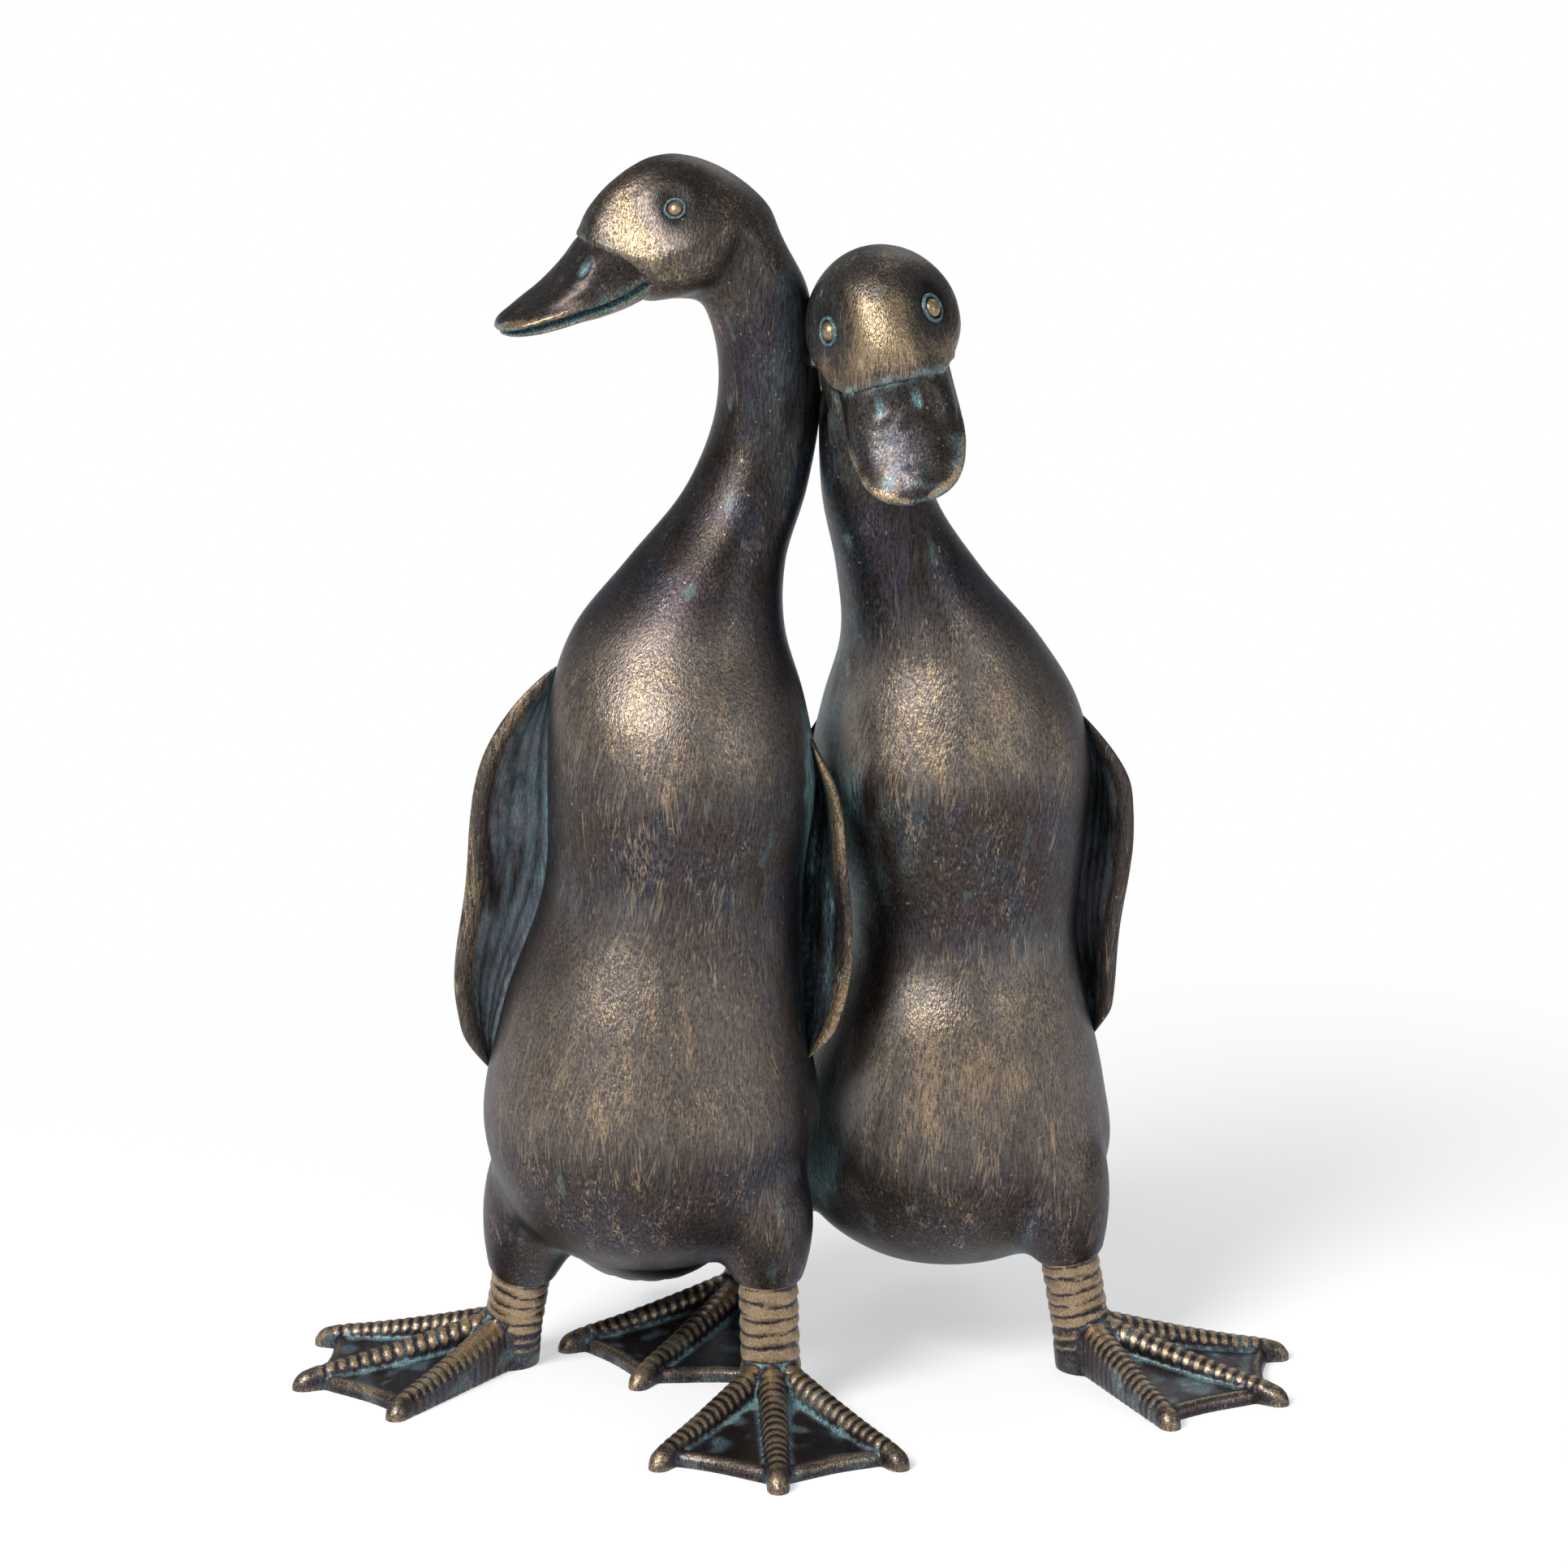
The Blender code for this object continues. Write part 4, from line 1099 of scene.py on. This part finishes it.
def layer(tree, name):
    """Values that were stored on the mesh under a name."""
    node = tree.nodes.new("ShaderNodeAttribute")
    node.attribute_name = name
    return node.outputs["Fac"]


def stroke_grain(place, lean, size, stretch):
    """Noise drawn out into strokes that lean by an angle in degrees."""
    turned = put("Mapping", Vector=place, Rotation=(0, math.radians(lean), 0))
    return grain(stretched(turned, stretch), size, 1.5, 0.5, 0.35)


def add_up(value, share, rest):
    """A share of a value, added to the rest."""
    return put("Math", {"operation": "MULTIPLY_ADD"}, i0=value, i1=share, i2=rest)


def strokes_on(place, level, strokes, stretch):
    """Brush strokes in bundles, more of them where the level is higher, and the grain they are cut from."""
    lean, size, share = strokes
    drawn = share * stretch
    fine = stroke_grain(place, lean, size, drawn)
    bundle = stroke_grain(place, lean, 9 * size, min(4 * drawn, 1))
    drive = add_up(level, 0.32, add_up(bundle, 0.7, fine))
    return window(drive, 1.12, 1.27, 0, 0.6), fine


def new_material(name):
    """Material with its tree, its shader and the places on the object."""
    material = bpy.data.materials.new(name)
    material.use_nodes = True
    tree = material.node_tree
    place = tree.nodes.new("ShaderNodeTexCoord").outputs["Object"]
    return material, tree, tree.nodes["Principled BSDF"], place


def patina(name, violet=VIOLET, blue=BLUE, shine=0.85, gild=1, relief=0.25, stretch=0.07):
    """Dark resin with gold dry-brushed strokes and grain, and turquoise in the hollows; the stored sheen
    brightens it towards bronze as a painted highlight, and a low gold level darkens it towards black,
    mostly as painted shade.
    """
    material, tree, shader, place = new_material(name)
    broad_place = stretched(place, 0.5)
    pits = grain(place, PIT_SIZE, 2, 0.55)
    dust = grain(place, DUST_SIZE, 1, 0.5)
    crinkle = grain(place, CRINKLE_SIZE, 2, 0.55)
    worms = put("Math", {"operation": "PINGPONG"}, i0=crinkle, i1=0.5)
    broad = grain(broad_place, BROAD_SIZE, 3, 0.6)
    soft = grain(place, SOFT_SIZE, 3, 0.6)
    blots = grain(broad_place, BLOT_SIZE, 2, 0.5)
    specks = window(grain(place, SPECK_SIZE, 0), 0.82, 0.85, 0, 0.6)
    drift = window(broad, 0.3, 0.7, -0.18, 0.18)
    level = add_up(layer(tree, "gold"), gild, drift)
    first, fine = strokes_on(place, level, THIN_STROKES, stretch)
    second, bold = strokes_on(place, level, BOLD_STROKES, stretch)
    drawn = maths("MAXIMUM", first, maths("MULTIPLY", second, 0.7))
    dabbed = window(add_up(level, 0.35, dust), 0.86, 0.98, 0, 0.6)
    mask = maths("MAXIMUM", maths("MAXIMUM", drawn, dabbed), specks)
    chill = layer(tree, "cool")
    plum = maths("MULTIPLY", window(soft, 0.42, 0.58), window(chill, -0.4, 0))
    base = mix(plum, BROWN, violet)
    cool = maths("ADD", chill, window(broad, 0.4, 0.6, -0.45, 0.45))
    base = mix(cool, base, blue)
    damp = maths("MULTIPLY", layer(tree, "teal"), window(fine, 0.35, 0.6, 0.6, 1.1))
    wet = maths("ADD", damp, window(blots, 0.66, 0.74, 0, 0.45))
    base = mix(wet, base, mix(window(wet, 0.5, 1), TEAL, TEAL_PALE))
    thin_lines = window(fine, 0.42, 0.66, 0, 0.6)
    bold_lines = window(bold, 0.45, 0.68, 0, 0.5)
    lines = maths("ADD", thin_lines, bold_lines)
    mottle = maths("ADD", window(pits, 0.42, 0.66, 0, 0.4), lines)
    base = mix(mottle, mix(0.6, base, BLACK), mix(RUBBED, base, BRONZE))
    grainy = window(mottle, 0.1, 0.8, 0.45, 1.1)
    # Painted highlight: the stored sheen mixes a brighter bronze into the colour
    sheen = maths("MULTIPLY", maths("ADD", layer(tree, "sheen"), 0.06), grainy)
    metal = mix(window(dust, 0.35, 0.65), GOLD_DEEP, GOLD_PALE)
    # Where the gold level is low the colour darkens towards black, mostly as painted shade
    dark_paint_and_shade = maths("SUBTRACT", window(level, -0.35, 0.12, 0.85, 0), wet)
    lustre = mix(window(level, 0.6, 1), BRONZE, WARM_BRONZE)
    base_with_sheen_and_shade = mix(dark_paint_and_shade, mix(sheen, base, lustre), BLACK)
    colour = mix(mask, base_with_sheen_and_shade, metal)
    metallic = maths("MAXIMUM", window(wet, 0, 0.7, shine, 0.1), mask)
    gloss = window(soft, 0.3, 0.7, *GLOSS)
    thin_cuts = window(fine, 0.3, 0.7, 0, 0.35)
    bold_cuts = window(bold, 0.35, 0.65, 0, 0.45)
    scratched = maths("ADD", thin_cuts, bold_cuts)
    height = maths("ADD", scratched, window(worms, 0.3, 0.5, 0.5, 0))
    strength = window(level, 0.2, 0.9, 0.8 * relief, 2.1 * relief)
    bump = put("Bump", Strength=strength, Distance=GRAIN_DEPTH, Height=height)
    feed(shader, Base_Color=colour, Metallic=metallic, Roughness=gloss, Normal=bump)
    shader.inputs["Specular IOR Level"].default_value = SPECULAR
    return material


def lined(name, size, stretch, detail, rough, dark, pale, gloss, metal):
    """Plain material with fine lines drawn out in height."""
    material, _, shader, place = new_material(name)
    lines = grain(stretched(place, stretch), size, detail, rough)
    roughness = window(lines, 0.3, 0.7, *gloss)
    feed(shader, Base_Color=mix(lines, dark, pale), Roughness=roughness, Metallic=metal)
    return material


def show(work, material, replaced):
    """Put a finished piece in the scene on the statue's one body."""
    mesh = work.mesh
    mesh.materials.clear()
    mesh.materials.append(material)
    mesh.shade_smooth()
    piece = add_object(mesh.name, mesh)
    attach(piece, "root")
    if replaced:
        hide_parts(*replaced)


def lamp(name, place, target, size, power, colour):
    data = bpy.data.lights.new(name, "AREA")
    data.shape = "DISK"
    data.size = size
    data.energy = power
    data.color = colour
    thing = add_object(name, data)
    thing.location = place
    thing.rotation_euler = (Vector(target) - Vector(place)).to_track_quat("-Z", "Y").to_euler()


def seen_by_eye(tree):
    """1 for rays from the camera, mirrors and glass; 0 for light on its way to the object."""
    path = tree.nodes.new("ShaderNodeLightPath").outputs
    shiny = maths("ADD", path["Is Glossy Ray"], path["Is Transmission Ray"])
    return maths("ADD", path["Is Camera Ray"], shiny)


def make_floor():
    """Pale floor that keeps the shadow near the statue and fades to white away from it."""
    mesh = bpy.data.meshes.new("floor")
    signs = ((-1, -1), (1, -1), (1, 1), (-1, 1))
    mesh.from_pydata([(x * FLOOR_HALF, y * FLOOR_HALF, 0) for x, y in signs], [], [(0, 1, 2, 3)])
    floor = add_object("floor", mesh)
    material, tree, shader, place = new_material("floor")
    tree.nodes.remove(shader)
    away = new_node("VectorMath", {"operation": "LENGTH"}, i0=place).outputs["Value"]
    seen = seen_by_eye(tree)
    far = maths("MULTIPLY", window(away, *SHADOW_FADE), seen)
    matt = tree.nodes.new("ShaderNodeBsdfDiffuse")
    feed(matt, Color=FLOOR_COLOUR)
    strength = window(seen, 0, 1, 0, FLOOR_LIFT)
    lift = put("Emission", Color=WHITE, Strength=strength)
    near = put("AddShader", i0=matt.outputs[0], i1=lift)
    glow = tree.nodes.new("ShaderNodeEmission")
    feed(glow, Color=WHITE, Strength=1)
    both = put("MixShader", i0=far, i1=near, i2=glow.outputs[0])
    feed(tree.nodes["Material Output"], Surface=both)
    mesh.materials.append(material)


def make_world():
    """Soft grey room; the floor fills the picture."""
    world = bpy.data.worlds.new("studio")
    world.use_nodes = True
    room = world.node_tree.nodes["Background"]
    room.inputs["Color"].default_value = ROOM_COLOUR
    room.inputs["Strength"].default_value = ROOM_LIGHT
    bpy.context.scene.world = world


def make_camera():
    data = bpy.data.cameras.new("camera")
    data.lens = LENS
    data.sensor_width = SENSOR
    data.clip_start, data.clip_end = CLIP
    camera = add_object("camera", data)
    camera.location = CAMERA_PLACE
    camera.rotation_euler = (CAMERA_PITCH, 0, 0)
    bpy.context.scene.camera = camera


def build_ducks():
    skin_paint = patina("bronze_skin")
    bill_paint = patina("bronze_bill", violet=BROWN, gild=1.25, stretch=0.7, relief=0.12)
    wing_paint = patina("bronze_wing", blue=WING_WASH, shine=0.25, gild=1.3)
    rim_paint = patina("bronze_rim", gild=1.3, stretch=0.3)
    horn_paint = patina("bronze_horn", gild=1.8, stretch=0.8, relief=0.12)
    eye_paint = patina("bronze_eye", gild=2, stretch=1, relief=0.05)
    skins = {duck["name"]: make_skin(duck) for duck in (TALL, SHORT)}
    trees = {name: work.tree() for name, work in skins.items()}
    flaps = {duck["name"]: {side: make_wing(duck, side) for side in SIDES} for duck in (TALL, SHORT)}
    wing_trees = {name: [flap.tree() for flap in pair.values()] for name, pair in flaps.items()}
    for duck, other in ((TALL, SHORT), (SHORT, TALL)):
        name = duck["name"]
        wings = flaps[name]
        bills = [make_bill(duck, lower) for lower in (False, True)]
        skin = skins[name]
        others = [trees[other["name"]]] + wing_trees[other["name"]]
        paint_skin(duck, skin, wing_trees[name], others)
        show(skin, skin_paint, (f"{name}_body", f"{name}_head"))
        for bill in bills:
            show(bill, bill_paint, ())
        for side in SIDES:
            paint = rim_paint if is_middle_wing(duck, side) else wing_paint
            show(wings[side], paint, (f"{name}_{side}_wing",))
            show(make_leg(duck, side), horn_paint, (f"{name}_{side}_leg",))
            show(make_eye(duck, side, trees[name]), eye_paint, (f"{name}_{side}_eye",))


def finish_hidden_nodes(nodes):
    """Rods, pins and ties in drawn steel, dowels in beech."""
    steel = lined("drawn_steel", *STEEL)
    wood = lined("beech", *BEECH)
    for name, node in nodes.items():
        if node.hide_render:
            continue
        node.data.materials.clear()
        node.data.materials.append(wood if "dowel" in name else steel)


def main():
    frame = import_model()
    bpy.context.scene.view_settings.view_transform = "Standard"
    make_camera()
    make_world()
    make_floor()
    for name, settings in LAMPS.items():
        lamp(name, *settings)
    build_ducks()
    finish_hidden_nodes(frame["nodes"])


main()
